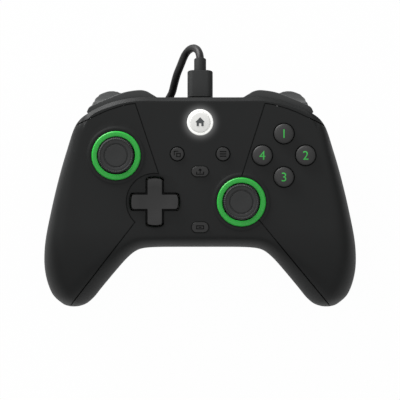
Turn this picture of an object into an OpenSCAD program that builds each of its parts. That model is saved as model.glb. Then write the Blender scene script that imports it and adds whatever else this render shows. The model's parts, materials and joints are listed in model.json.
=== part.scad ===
// Wired gamepad lying face up, in millimetres.
// X runs to the right, Y away from the player and Z up out of the face.
// The housing is lofted over cross sections that fan from the middle out along each grip.

/* [Housing] */
// Height of the flat face above the table
face_z = 47; // [46:0.5:50]
// Height of the underside between the grips
mid_z = 20; // [19.5:0.5:22]
// Wall of the mouldings
wall = 2.2; // [1.8:0.1:2.6]
// Drop of the face at the grip ends
grip_drop = 16; // [10:1:18]
// Depth of the front moulding's side walls
side_depth = 14; // [12:0.5:15]
// Depth of the rolled rear edge
rear_depth = 4; // [3.5:0.25:4.5]
// Rise of the back under the triggers
rear_lift = 11; // [9:0.5:12]
// Flat land beside the parting line, on each moulding
land = 0.6; // [0.4:0.1:1]
// Width of the seams between the front mouldings
seam_gap = 0.5; // [0.3:0.1:0.8]

/* [Sticks] */
// Centre of the left stick
left_stick = [-41.1, 21]; // [-60:0.1:60]
// Centre of the right stick
right_stick = [20.2, -1.7]; // [-60:0.1:60]
// Depth of the stick's pivot below the face
pivot_depth = 9.5; // [9:0.1:10]
// Radius of the thumb cap
cap_r = 9; // [8:0.1:9.2]
// Height of the cap's lower edge above the face
cap_lift = 6; // [5.8:0.1:8]
// Thickness of the thumb cap
cap_t = 5.4; // [4:0.1:7]
// Outer radius of the coloured ring
ring_r = 12; // [11.6:0.1:12.6]
// Bore radius of the coloured ring
ring_bore = 9.3; // [9:0.1:9.8]
// Height of the ring above the face
ring_rise = 1; // [0.6:0.1:1.2]
// Width of the sloping edge of the dish around a ring
dish_w = 2.3; // [1.5:0.1:2.6]
// Depth of that dish
dish_depth = 0.6; // [0.3:0.1:0.9]
// Radius of the steel post in each stick
post_r = 1.5; // [1.3:0.05:1.6]

/* [Direction pad] */
// Centre of the direction pad
dpad_at = [-22.2, -1.6]; // [-60:0.1:60]
// Span of the cross
dpad_span = 22.8; // [20:0.2:24]
// Width of an arm of the cross
dpad_arm = 6.9; // [6:0.1:8]
// Gap around the cross
dpad_gap = 1.1; // [0.9:0.1:1.4]
// Height of the cross above the face
dpad_rise = 2.2; // [1.5:0.1:3]
// Radius of the ball that the cross rocks on
ball_r = 2; // [1.6:0.1:2.4]

/* [Buttons] */
// Centre of the four face buttons
diamond_at = [41, 21.1]; // [-60:0.1:60]
// Distance of a face button from that centre
diamond_r = 10.6; // [10.4:0.1:11]
// Radius of a face button
face_button_r = 4.8; // [4:0.1:4.9]
// Height of a face button above the face
face_button_rise = 2.4; // [2:0.1:3.5]
// Gap around every button
button_gap = 0.3; // [0.2:0.05:0.4]
// Radius of the two small round buttons
small_button_r = 3.2; // [2.6:0.1:3.6]
// Distance of a small round button from the middle
small_button_x = 11.2; // [10:0.1:13]
// Distance of the small round buttons from the middle line
small_button_y = 21.8; // [19:0.1:24]
// Length and width of the two pill buttons
pill_size = [8.3, 5]; // [4:0.1:10]
// Place of the upper pill button along the middle line
upper_pill_y = 13.2; // [11:0.1:15]
// Place of the lower pill button along the middle line
lower_pill_y = -14.1; // [-15:0.1:-12]
// Height of the small buttons above the face
small_rise = 0.8; // [0.4:0.1:1.2]
// Place of the home button along the middle line
home_y = 37.3; // [35:0.1:38]
// Outer radius of the lit ring around the home button
home_ring_r = 6.45; // [6:0.05:6.8]
// Radius of the home button
home_r = 5.1; // [4.4:0.1:5.3]

/* [Bumpers and triggers] */
// Height of a bumper
bumper_h = 7; // [6:0.25:7.5]
// Radius of a bumper's hinge pin
bumper_pin_r = 1.25; // [1:0.05:1.4]
// Radius of a trigger's hinge pin
trigger_pin_r = 1.5; // [1.2:0.05:1.7]
// Inner side of a trigger
trigger_x0 = 38.2; // [38:0.1:39]
// Outer side of a trigger
trigger_x1 = 53.4; // [52.5:0.1:53.8]
// Gap beside a trigger
trigger_gap = 0.7; // [0.5:0.05:0.8]
// Running clearance of a pin in its bore
run_gap = 0.06; // [0.04:0.01:0.1]

/* [Inside] */
// Depth of the board's top below the face
board_drop = 16; // [15.9:0.05:16.1]
// Thickness of the board
board_t = 1.6; // [1:0.1:1.6]
// Radius of a rumble motor
motor_r = 8; // [7:0.25:9]
// Length of a rumble motor
motor_l = 14; // [10:0.5:16]
// Radius of a rumble weight
weight_r = 9; // [6:0.25:9.5]
// Radius of a screw's shank
screw_r = 1.25; // [1:0.05:1.4]
// Radius of a screw's head
screw_head_r = 2.5; // [2:0.1:2.7]
// Bore radius of the headset jack
jack_bore = 1.8; // [1.76:0.01:1.85]
// Outer radius of the headset jack's nose
jack_r = 3; // [2.6:0.1:3.4]
// Stroke of the small button switches, left free above them
switch_gap = 0.8; // [0.7:0.05:0.95]

/* [Cable] */
// Width of the plug's moulded body
plug_w = 12.4; // [11:0.1:13]
// Thickness of the plug's moulded body
plug_t = 7; // [6:0.1:7.6]
// Length of the plug's moulded body
plug_l = 14; // [12:0.5:16]
// Downward tilt of the plug
plug_tilt = 20; // [18:1:22]
// Diameter of the cord
cord_d = 3.8; // [3.4:0.1:3.9]
// Gap between neighbouring turns of the coil
turn_gap = 0.6; // [0.5:0.05:0.8]
// Gap between the layers of the coil
layer_gap = 0.5; // [0.45:0.05:0.6]
// Radius of the innermost turn
coil_in_r = 11.3; // [10.5:0.1:11.6]
// Turns in each layer of the coil
layer_turns = 4.3333; // [3.3333:1:4.3333]
// Thickness of the tie around the coil
tie_t = 0.9; // [0.7:0.05:1]

/* [Hidden] */
$fn = 48;

body_black = [0.17, 0.17, 0.17];
button_grey = [0.25, 0.25, 0.25];
ring_green = [0.21, 0.65, 0.27];
board_green = [0.05, 0.25, 0.12];
steel = [0.7, 0.7, 0.72];
lamp_white = [0.95, 0.95, 0.95];
silicone = [0.6, 0.6, 0.58];

// Cross sections of the right half, from the middle to the grip's end: the outer end's x and y,
// the inner end's x and y, and how far in from each end the face is rounded.
sections = [
    [0, 49.5, 0, -23.7, 2.6, 6],
    [17, 49.5, 11, -23.7, 2.6, 6],
    [32, 49.4, 21, -23.8, 2.6, 6],
    [44, 46, 27.5, -24.3, 3.2, 6.5],
    [54, 41.4, 31, -25.4, 5, 7],
    [60.8, 36, 34, -27.5, 8, 8],
    [65.3, 23.5, 37, -30.4, 10, 9],
    [69.2, 10, 40.5, -34.4, 12, 10.5],
    [73, -6, 44.3, -38.9, 13, 12],
    [76, -22.2, 48.2, -43.6, 13.5, 13],
    [76.1, -35.3, 52, -48.3, 13.5, 13],
    [72.9, -46.2, 55.6, -51.4, 13, 13],
    [67.6, -51.6, 59.2, -52.8, 13, 13],
    [63.8, -53, 62, -53.1, 13, 13]
];
last_section = len(sections) - 1;
// The hollow ends short of the grip's tip
hollow_end = last_section - 1.85;
// Stations along each half, and steps around an edge: outside, then in the hollow
outer_steps = [20, 4];
inner_steps = [11, 2];
// Facets of the holes in the face, and of the bosses and wells
hole_facets = 20;
boss_facets = 16;
// Places across the slope of a lobe, as shares of the slope, where every section has a point
slope_shares = [1.7, 1, 0.67, 0.33, 0];
slope_space = 0.05;
// The underside is rounded over a wider strip than the face
under_round = 1.5;
// Where the face starts to drop, and the tip of the grips
drop_from = -14;
tip_y = -53;
// Inner and outer foot of the slope down to the lobes
lobe_in = 38;
lobe_out = 47;
// Where the lobes start to rise and where they end
lift_from = 20;
lift_to = 48;
// Where the side walls start to get deeper, and over how long a run
part_from = 44;
part_run = 26;
// Room above everything that is cut through the face
cut_z = 20;

function smooth(t) = let (c = min(1, max(0, t))) c*c*(3 - 2*c);
function round_off(t) = t >= 1 ? 1 : sqrt(max(0, t*(2 - t)));
function mirror_row(r) = [-r[0], r[1], -r[2], r[3], r[4], r[5]];
function key_row(i) = i < 0 ? mirror_row(sections[-i]) : sections[min(i, last_section)];
function blend4(a, b, c, d, f) =
    b + f*(c - a)/2 + f*f*(a - 2.5*b + 2*c - d/2) + f*f*f*(1.5*b - 1.5*c + (d - a)/2);
function row_at(t) = let (i = min(floor(t), last_section - 1))
    blend4(key_row(i - 1), key_row(i), key_row(i + 1), key_row(i + 2), t - i);
function point_at(points, t) = let (n = len(points) - 1, i = min(floor(t), n - 1))
    blend4(points[max(0, i - 1)], points[i], points[i + 1], points[min(n, i + 2)], t - i);
function curve(points, steps) =
    [for (k = [0:steps*(len(points) - 1)]) point_at(points, k/steps)];

// Heights of the face, the parting line and the back over a point of the plan
function face_at(p) = face_z - grip_drop*pow(max(0, (drop_from - p.y)/(drop_from - tip_y)), 2);
function part_at(p) =
    face_at(p) - rear_depth - (side_depth - rear_depth)*smooth((part_from - p.y)/part_run);
function back_at(p) = let (
    lobe = smooth((abs(p.x) - lobe_in)/(lobe_out - lobe_in)),
    lift = rear_lift*smooth((p.y - lift_from)/(lift_to - lift_from)))
    mid_z*(1 - lobe) + lift*lobe;

// Points across one section, inset by w: plan place, and how far in as a share of each rounding
function across(t, w, edge_steps) = let (
    r = row_at(abs(t)), s = t < 0 ? -1 : 1,
    a = [s*r[0], r[1]], b = [s*r[2], r[3]], span = norm(b - a), dir = (b - a)/span,
    run = span - 2*w, ra = r[4] - w/2, rb = r[5] - w/2, k = min(1, 0.8*run/(ra + rb)),
    rise = [for (i = [0:edge_steps]) 1 - cos(90*i/edge_steps)],
    flat = run - k*(ra + rb), n = len(slope_shares),
    steps = concat([for (e = rise) k*ra*e],
        [for (i = [0:n - 1]) k*ra + flat*min(1 - slope_space*(n - i), max(slope_space*(i + 1),
            ((r[0] - lobe_in - slope_shares[i]*(lobe_out - lobe_in))/max(0.05, abs(dir.x)) - w - k*ra)/flat))],
        [for (i = [edge_steps:-1:0]) run - k*rb*rise[i]]))
    [for (d = steps) [a + (w + d)*dir, d/ra, (run - d)/rb]];
function top_z(q, w) = let (low = part_at(q[0]) + land)
    low + (face_at(q[0]) - w - low)*round_off(q[1])*round_off(q[2]);
function under_z(q, w) = let (high = part_at(q[0]) - land)
    high - (high - back_at(q[0]) - w)*round_off(q[1]/under_round)*round_off(q[2]/under_round);

// Stations from one grip's end to the other, and the grids over them
function stations(end, steps) = [for (k = [-steps[0]:steps[0]]) end*k/steps[0]];
function spots(w, end, steps) = [for (t = stations(end, steps), q = across(t, w, steps[1])) q];
function top_grid(w, end, steps) = [for (q = spots(w, end, steps)) [q[0].x, q[0].y, top_z(q, w)]];
function part_grid(w, end, steps) = [for (q = spots(w, end, steps)) [q[0].x, q[0].y, part_at(q[0])]];
function under_grid(w, end, steps) = [for (q = spots(w, end, steps)) [q[0].x, q[0].y, under_z(q, w)]];
function quad(a, b, c, d) = [[a, b, c], [a, c, d]];

// Closed block between an upper and a lower grid that share their plan
module grid_block(upper, lower, rows) {
    cols = len(upper)/rows;
    n = len(upper);
    faces = concat(
        [for (i = [0:rows - 2], j = [0:cols - 2]) let (k = i*cols + j)
            each concat(quad(k, k + cols, k + cols + 1, k + 1),
                quad(n + k, n + k + 1, n + k + cols + 1, n + k + cols))],
        [for (i = [0:rows - 2]) let (k = i*cols, e = k + cols - 1)
            each concat(quad(k + cols, k, n + k, n + k + cols),
                quad(e, e + cols, n + e + cols, n + e))],
        [for (j = [0:cols - 2]) let (e = n - cols + j)
            each concat(quad(j, j + 1, n + j + 1, n + j), quad(e + 1, e, n + e, n + e + 1))]);
    polyhedron(concat(upper, lower), faces, convexity = 10);
}

// Closed block through rings of points, each ring given anticlockwise as seen from the start
module ring_block(rings) {
    s = len(rings[0]);
    n = len(rings);
    faces = concat(
        [for (i = [0:n - 2], j = [0:s - 1]) let (k = i*s + j, m = i*s + (j + 1) % s)
            each quad(k, m, m + s, k + s)],
        [for (j = [1:s - 2]) [0, j + 1, j]],
        [for (j = [1:s - 2]) [(n - 1)*s, (n - 1)*s + j, (n - 1)*s + j + 1]]);
    polyhedron([for (r = rings, p = r) p], faces, convexity = 10);
}

function unit(v) = v/norm(v);
function heading(path, i) = unit(path[min(len(path) - 1, i + 1)] - path[max(0, i - 1)]);
function tube_ring(p, t, r, sides) = let (side = unit(cross(t, [0, 0, 1])), up = cross(side, t))
    [for (j = [0:sides - 1]) p + r*(cos(360*j/sides)*side + sin(360*j/sides)*up)];
// Tube along a path, its end faces square to the given headings
module tube(path, d, sides, t0, t1) {
    n = len(path);
    ring_block([for (i = [0:n - 1])
        tube_ring(path[i], i == 0 ? t0 : i == n - 1 ? t1 : heading(path, i), d/2, sides)]);
}

// The housing's inside, or its skin at an inset of w
module housing_inset(w) {
    grid_block(top_grid(w, hollow_end, inner_steps), under_grid(w, hollow_end, inner_steps),
        len(stations(hollow_end, inner_steps)));
}
module front_moulding() {
    rows = len(stations(last_section, outer_steps));
    difference() {
        grid_block(top_grid(0, last_section, outer_steps), part_grid(0, last_section, outer_steps), rows);
        housing_inset(wall);
    }
}
module back_moulding() {
    rows = len(stations(last_section, outer_steps));
    difference() {
        grid_block(part_grid(0, last_section, outer_steps), under_grid(0, last_section, outer_steps), rows);
        housing_inset(wall);
    }
}

// Edge of a side panel: the groove along the rear, the seam, the arc and the seam along the grip
dpad_margin = 1.4;
dpad_dish_r = dpad_span/2 + dpad_gap + dpad_margin;
groove = [[62, 35.6], [58.8, 36.8], [51.1, 39.6], [45.5, 42.4], [40.5, 44.4], [35.6, 45.9], [31.6, 46.5]];
grip_seam_end = [63, -51.75];
plan_far = 90;
function panel_arc(c, r, angles) = [for (a = angles) [c.x + r*cos(a), c.y + r*sin(a)]];
// The left seam goes round the pad's dish, the right one ends on both sides under the stick's ring
function panel_turn(s) = s < 0 ? panel_arc(left_arc, dpad_dish_r, [98:-12:-46])
    : panel_arc(right_stick, ring_bore, [96, -44]);
// Plan of a side's panel, or of the space that the panel and its seams take: s is the side
module panel_plan(s, grow) {
    mirror([s < 0 ? 1 : 0, 0])
    offset(delta = grow)
    polygon(concat(groove, panel_turn(s), [grip_seam_end, grip_seam_end + [2, -2.6],
        [plan_far, grip_seam_end.y - 2.6], [plan_far, groove[0].y]]));
}
// Where the arc of the left seam is centred, seen from that side
left_arc = [-dpad_at.x, dpad_at.y];

// Stiffening rib under the face at a plan point
rib_h = 3.5;
module face_rib(p) {
    top = face_at(p) - wall;
    hull() {
        translate([p.x - 3, p.y - 0.8, top - 0.3]) cube([6, 1.6, 0.6]);
        translate([p.x - 2.4, p.y - 0.5, top - rib_h]) cube([4.8, 1, 0.2]);
    }
}
panel_ribs = [[36, 41], [39, -4], [39.5, -14], [45.5, -21], [52, -29], [58, 6], [60, -4],
    [62, -14], [63, -24]];
face_ribs = [[9, 29], [13, 9], [33, -20], [40.6, -29], [47, -37]];
// Keeps whatever hangs inside the housing from showing through its walls
module inside_only() {
    intersection() {
        children();
        housing_inset(wall/2);
    }
}

// Cut for a ring: the dish, the seat and the hole
seat_z = face_z - dish_depth;
module ring_cut(c) {
    translate([c.x, c.y, seat_z])
    cylinder(r1 = ring_r + 0.7, r2 = ring_r + 0.7 + dish_w*(dish_depth + 0.2)/dish_depth,
        h = dish_depth + 0.2);
    translate([c.x, c.y, seat_z - cut_z/2]) cylinder(r = ring_bore + 0.8, h = cut_z);
}

// Screws: plan place, height of the head's seat and of the joint between the bosses
screw_places = [[63.2, -34], [22, 38.5], [17.3, -18.4]];
function screw_seat(p) = p.x > lobe_out ? 9 : mid_z + (p.y < 0 ? 6 : 2.4);
function screw_split(p) = screw_seat(p) + 10;
screw_l = 16;
boss_r = screw_head_r + 1;
boss_gap = 0.15;
// Bosses of the right grip alone, or of the faceplate
module front_bosses(grip) {
    $fn = boss_facets;
    for (p = screw_places, s = grip ? [1] : [-1, 1])
        if (grip == (p.x > lobe_out)) {
        q = [s*p.x, p.y];
        hull() {
            translate([q.x, q.y, screw_split(p) + boss_gap]) cylinder(r = boss_r - 0.8, h = 1);
            translate([q.x, q.y, face_at(q) - wall - 3]) cylinder(r = boss_r, h = 1);
        }
        translate([q.x, q.y, face_at(q) - wall - 3]) cylinder(r = boss_r, h = 3.2);
        }
}
module front_screw_holes() {
    $fn = boss_facets;
    for (p = screw_places, s = [-1, 1])
        translate([s*p.x, p.y, screw_split(p) - 1]) cylinder(r = screw_r + 0.15, h = screw_l - 8.5);
}

// Shapes of the buttons
module pill(grow, longer = 0) {
    x = (pill_size.x - pill_size.y)/2 + longer;
    hull()
    for (s = [-1, 1])
        translate([s*x, 0]) circle(r = pill_size.y/2 + grow, $fn = hole_facets);
}
// Cross whose arms end on one circle
module cross(grow) {
    r = dpad_span/2 + grow;
    h = dpad_arm/2 + grow;
    w = asin(h/r);
    polygon([for (q = [0:90:270], k = [-2:3])
        k < 3 ? r*[cos(q + k*w/2), sin(q + k*w/2)] : h*sqrt(2)*[cos(q + 45), sin(q + 45)]]);
}
module face_hole(c, r) {
    translate([c.x, c.y, face_z - cut_z/2]) cylinder(r = r/cos(180/hole_facets), h = cut_z);
}

module center_faceplate() {
    $fn = hole_facets;
    color(body_black)
    difference() {
        union() {
            difference() {
                front_moulding();
                for (s = [-1, 1])
                    translate([0, 0, -1]) linear_extrude(face_z + cut_z) panel_plan(s, seam_gap/2);
            }
            inside_only() {
                for (p = face_ribs, s = [-1, 1])
                    face_rib([s*p.x, p.y]);
                front_bosses(false);
            }
        }
        front_screw_holes();
        ring_cut(right_stick);
        translate([dpad_at.x, dpad_at.y, seat_z])
        cylinder(r1 = dpad_dish_r - dish_w, r2 = dpad_dish_r + dish_w*0.2/dish_depth,
            h = dish_depth + 0.2);
        translate([dpad_at.x, dpad_at.y, face_z - cut_z/2]) linear_extrude(cut_z) cross(dpad_gap);
        for (s = [-1, 1])
            face_hole([s*small_button_x, small_button_y], small_button_r + button_gap);
        for (y = [upper_pill_y, lower_pill_y])
            translate([0, y, face_z - cut_z/2]) linear_extrude(cut_z) pill(button_gap);
        face_hole([0, home_y], home_ring_r + 0.05);
    }
}

// Panel of side s, before its openings
module side_panel(s) {
    intersection() {
        front_moulding();
        translate([0, 0, -1]) linear_extrude(face_z + cut_z) panel_plan(s, -seam_gap/2);
    }
    inside_only() mirror([s < 0 ? 1 : 0, 0, 0]) {
        for (p = panel_ribs)
            face_rib(p);
        front_bosses(true);
    }
}
module right_front_panel() {
    $fn = hole_facets;
    color(body_black)
    difference() {
        side_panel(1);
        front_screw_holes();
        ring_cut(right_stick);
        for (a = [0:90:270])
            face_hole(diamond_at + diamond_r*[cos(a), sin(a)], face_button_r + button_gap);
    }
}
module left_front_panel() {
    $fn = hole_facets;
    color(body_black)
    difference() {
        side_panel(-1);
        front_screw_holes();
        ring_cut(left_stick);
    }
}

// Bumper hinge, trigger hinge and the room that the trigger sweeps
bumper_top = face_z - rear_depth - land;
bumper_z = bumper_top - bumper_h;
bumper_hinge = [24.6, 45.2];
bumper_boss_r = 3;
trigger_hinge = [32.5, face_z - 21];
sweep_r = 14.5;
sweep_gap = 0.5;
// Opening in the rear wall for one bumper and its trigger
window_x0 = 19.4;
window_x1 = 55.7;
module rear_window() {
    translate([window_x0, 34, bumper_z - 0.5]) cube([window_x1 - window_x0, 30, face_z]);
    translate([trigger_x0 - trigger_gap, 33, -1])
    cube([trigger_x1 - trigger_x0 + 2*trigger_gap, 40, face_z]);
    translate([trigger_x0 - trigger_gap, trigger_hinge.x, trigger_hinge.y]) rotate([0, 90, 0])
    cylinder(r = sweep_r + sweep_gap, h = trigger_x1 - trigger_x0 + 2*trigger_gap);
}

// The port's middle on the rear wall, and the frame of the plug there
port_at = [0, 48.5, face_z - 14];
socket_l = 7.2;
socket_w = 9;
socket_t = 3.3;
module at_port() {
    translate(port_at) rotate([-90 - plug_tilt, 0, 0]) children();
}
// Bar with round long edges, standing on the plane
module round_bar(w, t, r, l) {
    linear_extrude(l) {
        square([w - 2*r, t], center = true);
        square([w, t - 2*r], center = true);
        for (sx = [-1, 1], sy = [-1, 1])
            translate([sx*(w/2 - r), sy*(t/2 - r)]) circle(r);
    }
}

// Board, its posts and the cradles of the motors
board_z = face_z - board_drop;
board_under = board_z - board_t;
post_places = [[27, 29], [25, -9], [48, 16]];
motor_at = [57, -13, 15.5];
cradle_y = 4;
bracket_pad_z = 9;
bracket_y = 24;
bracket_t = 2;
bracket_leg = [47.4, 53];
jack_z = board_under - jack_r;
module back_bosses() {
    $fn = boss_facets;
    for (p = screw_places, s = [-1, 1])
        hull() {
            translate([s*p.x, p.y, back_at(p) + 0.3]) cylinder(r = boss_r + 0.5, h = 1);
            translate([s*p.x, p.y, screw_split(p) - 1]) cylinder(r = boss_r - 0.6, h = 1);
        }
    for (p = post_places, s = [-1, 1])
        hull() {
            translate([s*p.x, p.y, back_at(p) + 0.5]) cylinder(r = 2.6, h = 1);
            translate([s*p.x, p.y, board_under - 1]) cylinder(r = 1.8, h = 1);
        }
    for (s = [-1, 1], y = [-1, 1])
        translate([s*motor_at.x - 7, motor_at.y + y*cradle_y - 0.8, wall - 0.5])
        cube([14, 1.6, motor_at.z - wall - 3]);
    for (s = [-1, 1])
        hull() {
            translate([s*(bracket_leg[0] + bracket_leg[1])/2 - 4, bracket_y - 1.2, wall - 0.4])
            cube([8, bracket_t + 2.4, 0.5]);
            translate([s*(bracket_leg[0] + bracket_leg[1])/2 - 3.3, bracket_y - 0.5, bracket_pad_z - 0.5])
            cube([6.6, bracket_t + 1, 0.5]);
        }
    for (s = [-1, 1])
        translate([s*bumper_hinge.x, bumper_hinge.y, mid_z + 0.6])
        cylinder(r = bumper_boss_r, h = bumper_z - mid_z - 1.3);
}
module back_shell() {
    $fn = boss_facets;
    color(body_black)
    difference() {
        union() {
            difference() {
                back_moulding();
                rear_window();
                mirror([1, 0, 0]) rear_window();
            }
            inside_only() back_bosses();
        }
        for (p = screw_places, s = [-1, 1]) {
            translate([s*p.x, p.y, -1]) cylinder(r = screw_head_r + 0.3, h = screw_seat(p) + 1);
            translate([s*p.x, p.y, 0]) cylinder(r = screw_r + 0.15, h = face_z);
        }
        for (s = [-1, 1]) {
            translate([s*motor_at.x, motor_at.y - motor_l, motor_at.z]) rotate([-90, 0, 0])
            cylinder(r = motor_r + 0.03, h = 2*motor_l, $fn = 60);
            translate([s*bumper_hinge.x, bumper_hinge.y, bumper_z - pin_sink])
            cylinder(r = bumper_pin_r + 0.1, h = 9);
        }
        at_port() translate([0, 0, -6]) round_bar(plug_w + 0.8, plug_t + 0.8, plug_t/2 - 0.2, 12);
        translate([0, 0, jack_z]) rotate([90, 0, 0]) cylinder(r = jack_r + 0.2, h = 40);
    }
}

// Sticks: every piece is drawn around the pivot's centre
pivot_z = face_z - pivot_depth;
module at_stick(c) {
    translate([c.x, c.y, pivot_z]) children();
}
post_low = -4;
stem_r = 3.2;
stem_z = 7;
cap_z = pivot_depth + cap_lift;
module stick_cap(c) {
    crest = cap_z + cap_t;
    at_stick(c)
    difference() {
        rotate_extrude()
        polygon(concat([[0, stem_z], [stem_r, stem_z], [stem_r, cap_z - 2.4], [stem_r + 1.4, cap_z - 0.5],
            [cap_r - 0.7, cap_z], [cap_r, cap_z + 0.8], [cap_r, crest - 1.4], [cap_r - 0.4, crest - 0.5],
            [cap_r - 1.2, crest], [cap_r - 2.1, crest - 0.1]],
            [for (a = [60:-15:0]) [(cap_r - 3)*sin(1.5*a), crest - 0.5 - 0.9*cos(1.5*a)]]));
        translate([0, 0, stem_z - 1]) cylinder(r = post_r, h = cap_z - stem_z);
    }
}
module stick_shaft(c) {
    color(steel) at_stick(c)
    translate([0, 0, post_low]) {
        cylinder(r = post_r, h = cap_z - post_low - 1.3);
        cylinder(r1 = 0.8, r2 = post_r + 0.4, h = 0.8);
    }
}
cross_r = post_r + 1.4;
cross_h = 2.2;
cross_pin_r = 1;
yoke_t = 1.6;
yoke_in_x = 3.9;
yoke_in_y = cross_r + 0.4;
yoke_out = [5.4, 5.2];
yoke_pin_r = 1.3;
house_in = 6;
house_out = 7.5;
house_low = board_z - pivot_z;
house_top = 4.3;
module stick_pivot(c) {
    color(steel) at_stick(c)
    difference() {
        union() {
            translate([0, 0, -cross_h]) cylinder(r = cross_r, h = 2*cross_h);
            rotate([90, 0, 0]) cylinder(r = cross_pin_r, h = 2*yoke_out.y - 0.4, center = true);
        }
        translate([0, 0, -cross_h - 1]) cylinder(r = post_r + run_gap, h = 2*cross_h + 2);
    }
}
module stick_yoke(c) {
    color("dimgray") at_stick(c)
    difference() {
        union() {
            cube([2*yoke_out.x, 2*yoke_out.y, 2*yoke_t], center = true);
            rotate([0, 90, 0]) cylinder(r = yoke_pin_r, h = 2*house_out - 0.2, center = true);
        }
        cube([2*yoke_in_x, 2*yoke_in_y, 4*yoke_t], center = true);
        rotate([90, 0, 0]) cylinder(r = cross_pin_r + run_gap, h = 4*yoke_out.y, center = true);
    }
}
module stick_housing(c) {
    color("gray") at_stick(c)
    difference() {
        union() {
            translate([-house_out, -house_out, house_low])
            cube([2*house_out, 2*house_out, house_top - house_low]);
            translate([-4.5, house_out - 0.1, house_low]) cube([9, 3.3, 8.5]);
            translate([-house_out - 3.2, -4.5, house_low]) cube([3.3, 9, 8.5]);
        }
        translate([-house_in, -house_in, house_low + 1])
        cube([2*house_in, 2*house_in, house_top - house_low - 1.8]);
        translate([0, 0, house_top - 1]) cylinder(r = stem_r + 1.4, h = 2);
        rotate([0, 90, 0]) cylinder(r = yoke_pin_r + run_gap, h = 2*house_out + 0.02, center = true);
    }
}
module stick_ring(c) {
    color(ring_green)
    translate([c.x, c.y, seat_z])
    rotate_extrude()
    polygon([[ring_bore, -wall - 0.6], [ring_bore + 0.6, -wall - 0.6], [ring_bore + 0.6, 0], [ring_r, 0],
        [ring_r, dish_depth + 0.3*ring_rise], [ring_r - 0.5, dish_depth + 0.9*ring_rise],
        [ring_r - 1, dish_depth + ring_rise], [ring_bore + 0.5, dish_depth + ring_rise],
        [ring_bore, dish_depth + 0.6*ring_rise]]);
}

// Direction pad: the cross on its hub, rocking on a ball that a post carries
ball_z = face_z - 7;
ball_gap = 0.1;
hub_r = ball_r + 2;
flange_r = dpad_span/2;
flange_t = 1.2;
flange_top = face_z - wall - 1.5;
nub_at = 7.6;
nub_r = 2;
nub_z = board_z + 5;
dome_gap = 0.3;
sheet_t = 1;
module dpad() {
    color(button_grey)
    translate([dpad_at.x, dpad_at.y, 0])
    difference() {
        union() {
            translate([0, 0, flange_top - 0.1])
            linear_extrude(face_z + dpad_rise - flange_top + 0.1) cross(0);
            translate([0, 0, flange_top - flange_t]) cylinder(r = flange_r, h = flange_t);
            translate([0, 0, ball_z + 0.5]) cylinder(r = hub_r, h = flange_top - ball_z - 0.5);
            for (a = [0:90:270])
                rotate(a) translate([nub_at, 0, nub_z]) cylinder(r = nub_r, h = flange_top - nub_z);
        }
        translate([0, 0, ball_z]) sphere(ball_r + ball_gap);
        // Thumb dish in the middle and the slope up each arm
        translate([0, 0, face_z + dpad_rise + 26.9]) sphere(28, $fn = 96);
    }
}
module dpad_ball() {
    color(steel) translate([dpad_at.x, dpad_at.y, ball_z]) sphere(ball_r);
}
module dpad_post() {
    color("gray")
    translate([dpad_at.x, dpad_at.y, 0])
    difference() {
        translate([0, 0, board_z]) cylinder(r = ball_r + 1, h = ball_z - 0.6 - board_z);
        translate([0, 0, ball_z]) sphere(ball_r + ball_gap);
    }
}
// Silicone sheet with domes at a distance under nubs that end at height z
module dome_sheet(c, at, z, arm, post) {
    color(silicone)
    translate([c.x, c.y, board_z])
    difference() {
        union() {
            for (a = [0, 90])
                rotate(a) translate([-at - 4.2, -arm/2, 0]) cube([2*at + 8.4, arm, sheet_t]);
            for (a = [0:90:270])
                rotate(a) translate([at, 0, 0])
                cylinder(r1 = 3.6, r2 = 2.2, h = z - dome_gap - board_z);
        }
        translate([0, 0, -1]) cylinder(r = post, h = sheet_t + 2);
    }
}
module dpad_membrane() {
    dome_sheet(dpad_at, nub_at, nub_z, 8, ball_r + 1.4);
}
module face_button_membrane() {
    dome_sheet(diamond_at, diamond_r, stem_low, 8, 2);
}

// Buttons: a domed head, a flange behind the face and a stem
stem_low = board_z + 4.5;
button_flange = 0.8;
module button_stem(r, low) {
    translate([0, 0, face_z - wall - 0.2 - button_flange]) cylinder(r = r + button_flange, h = button_flange);
    translate([0, 0, low]) cylinder(r = min(r - 0.6, 2.6), h = face_z - wall - low);
}
module face_button(a) {
    color(button_grey)
    translate(diamond_at + diamond_r*[cos(a), sin(a)]) {
        button_stem(face_button_r, stem_low);
        rotate_extrude()
        polygon(concat([[0, face_z - wall - 1]], [[face_button_r, face_z - wall - 1]],
            [for (i = [0:6]) [face_button_r*cos(90*pow(i/6, 0.7)),
                face_z + face_button_rise - 1.3 + 1.3*sin(90*pow(i/6, 0.7))]]));
    }
}
module face_button_right() { face_button(0); }
module face_button_top() { face_button(90); }
module face_button_left() { face_button(180); }
module face_button_bottom() { face_button(270); }

switch_h = 3.5;
small_low = board_z + switch_h + switch_gap;
module small_button(x) {
    color(button_grey)
    translate([x, small_button_y, 0]) {
        button_stem(small_button_r, small_low);
        translate([0, 0, face_z - wall - 1]) cylinder(r = small_button_r, h = wall + 1 + small_rise - 0.3);
        translate([0, 0, face_z + small_rise - 0.3])
        cylinder(r1 = small_button_r, r2 = small_button_r - 0.3, h = 0.3);
    }
}
module view_button() { small_button(-small_button_x); }
module menu_button() { small_button(small_button_x); }
module pill_button(y) {
    color(button_grey)
    translate([0, y, 0]) {
        translate([0, 0, face_z - wall - 0.2 - button_flange])
        linear_extrude(button_flange) pill(0, button_flange);
        translate([0, 0, face_z - wall - 0.5]) linear_extrude(wall + 0.5 + small_rise) pill(0);
        translate([0, 0, small_low]) cylinder(r = 1.8, h = face_z - wall - small_low);
    }
}
module share_button() { pill_button(upper_pill_y); }
module profile_button() { pill_button(lower_pill_y); }
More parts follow.
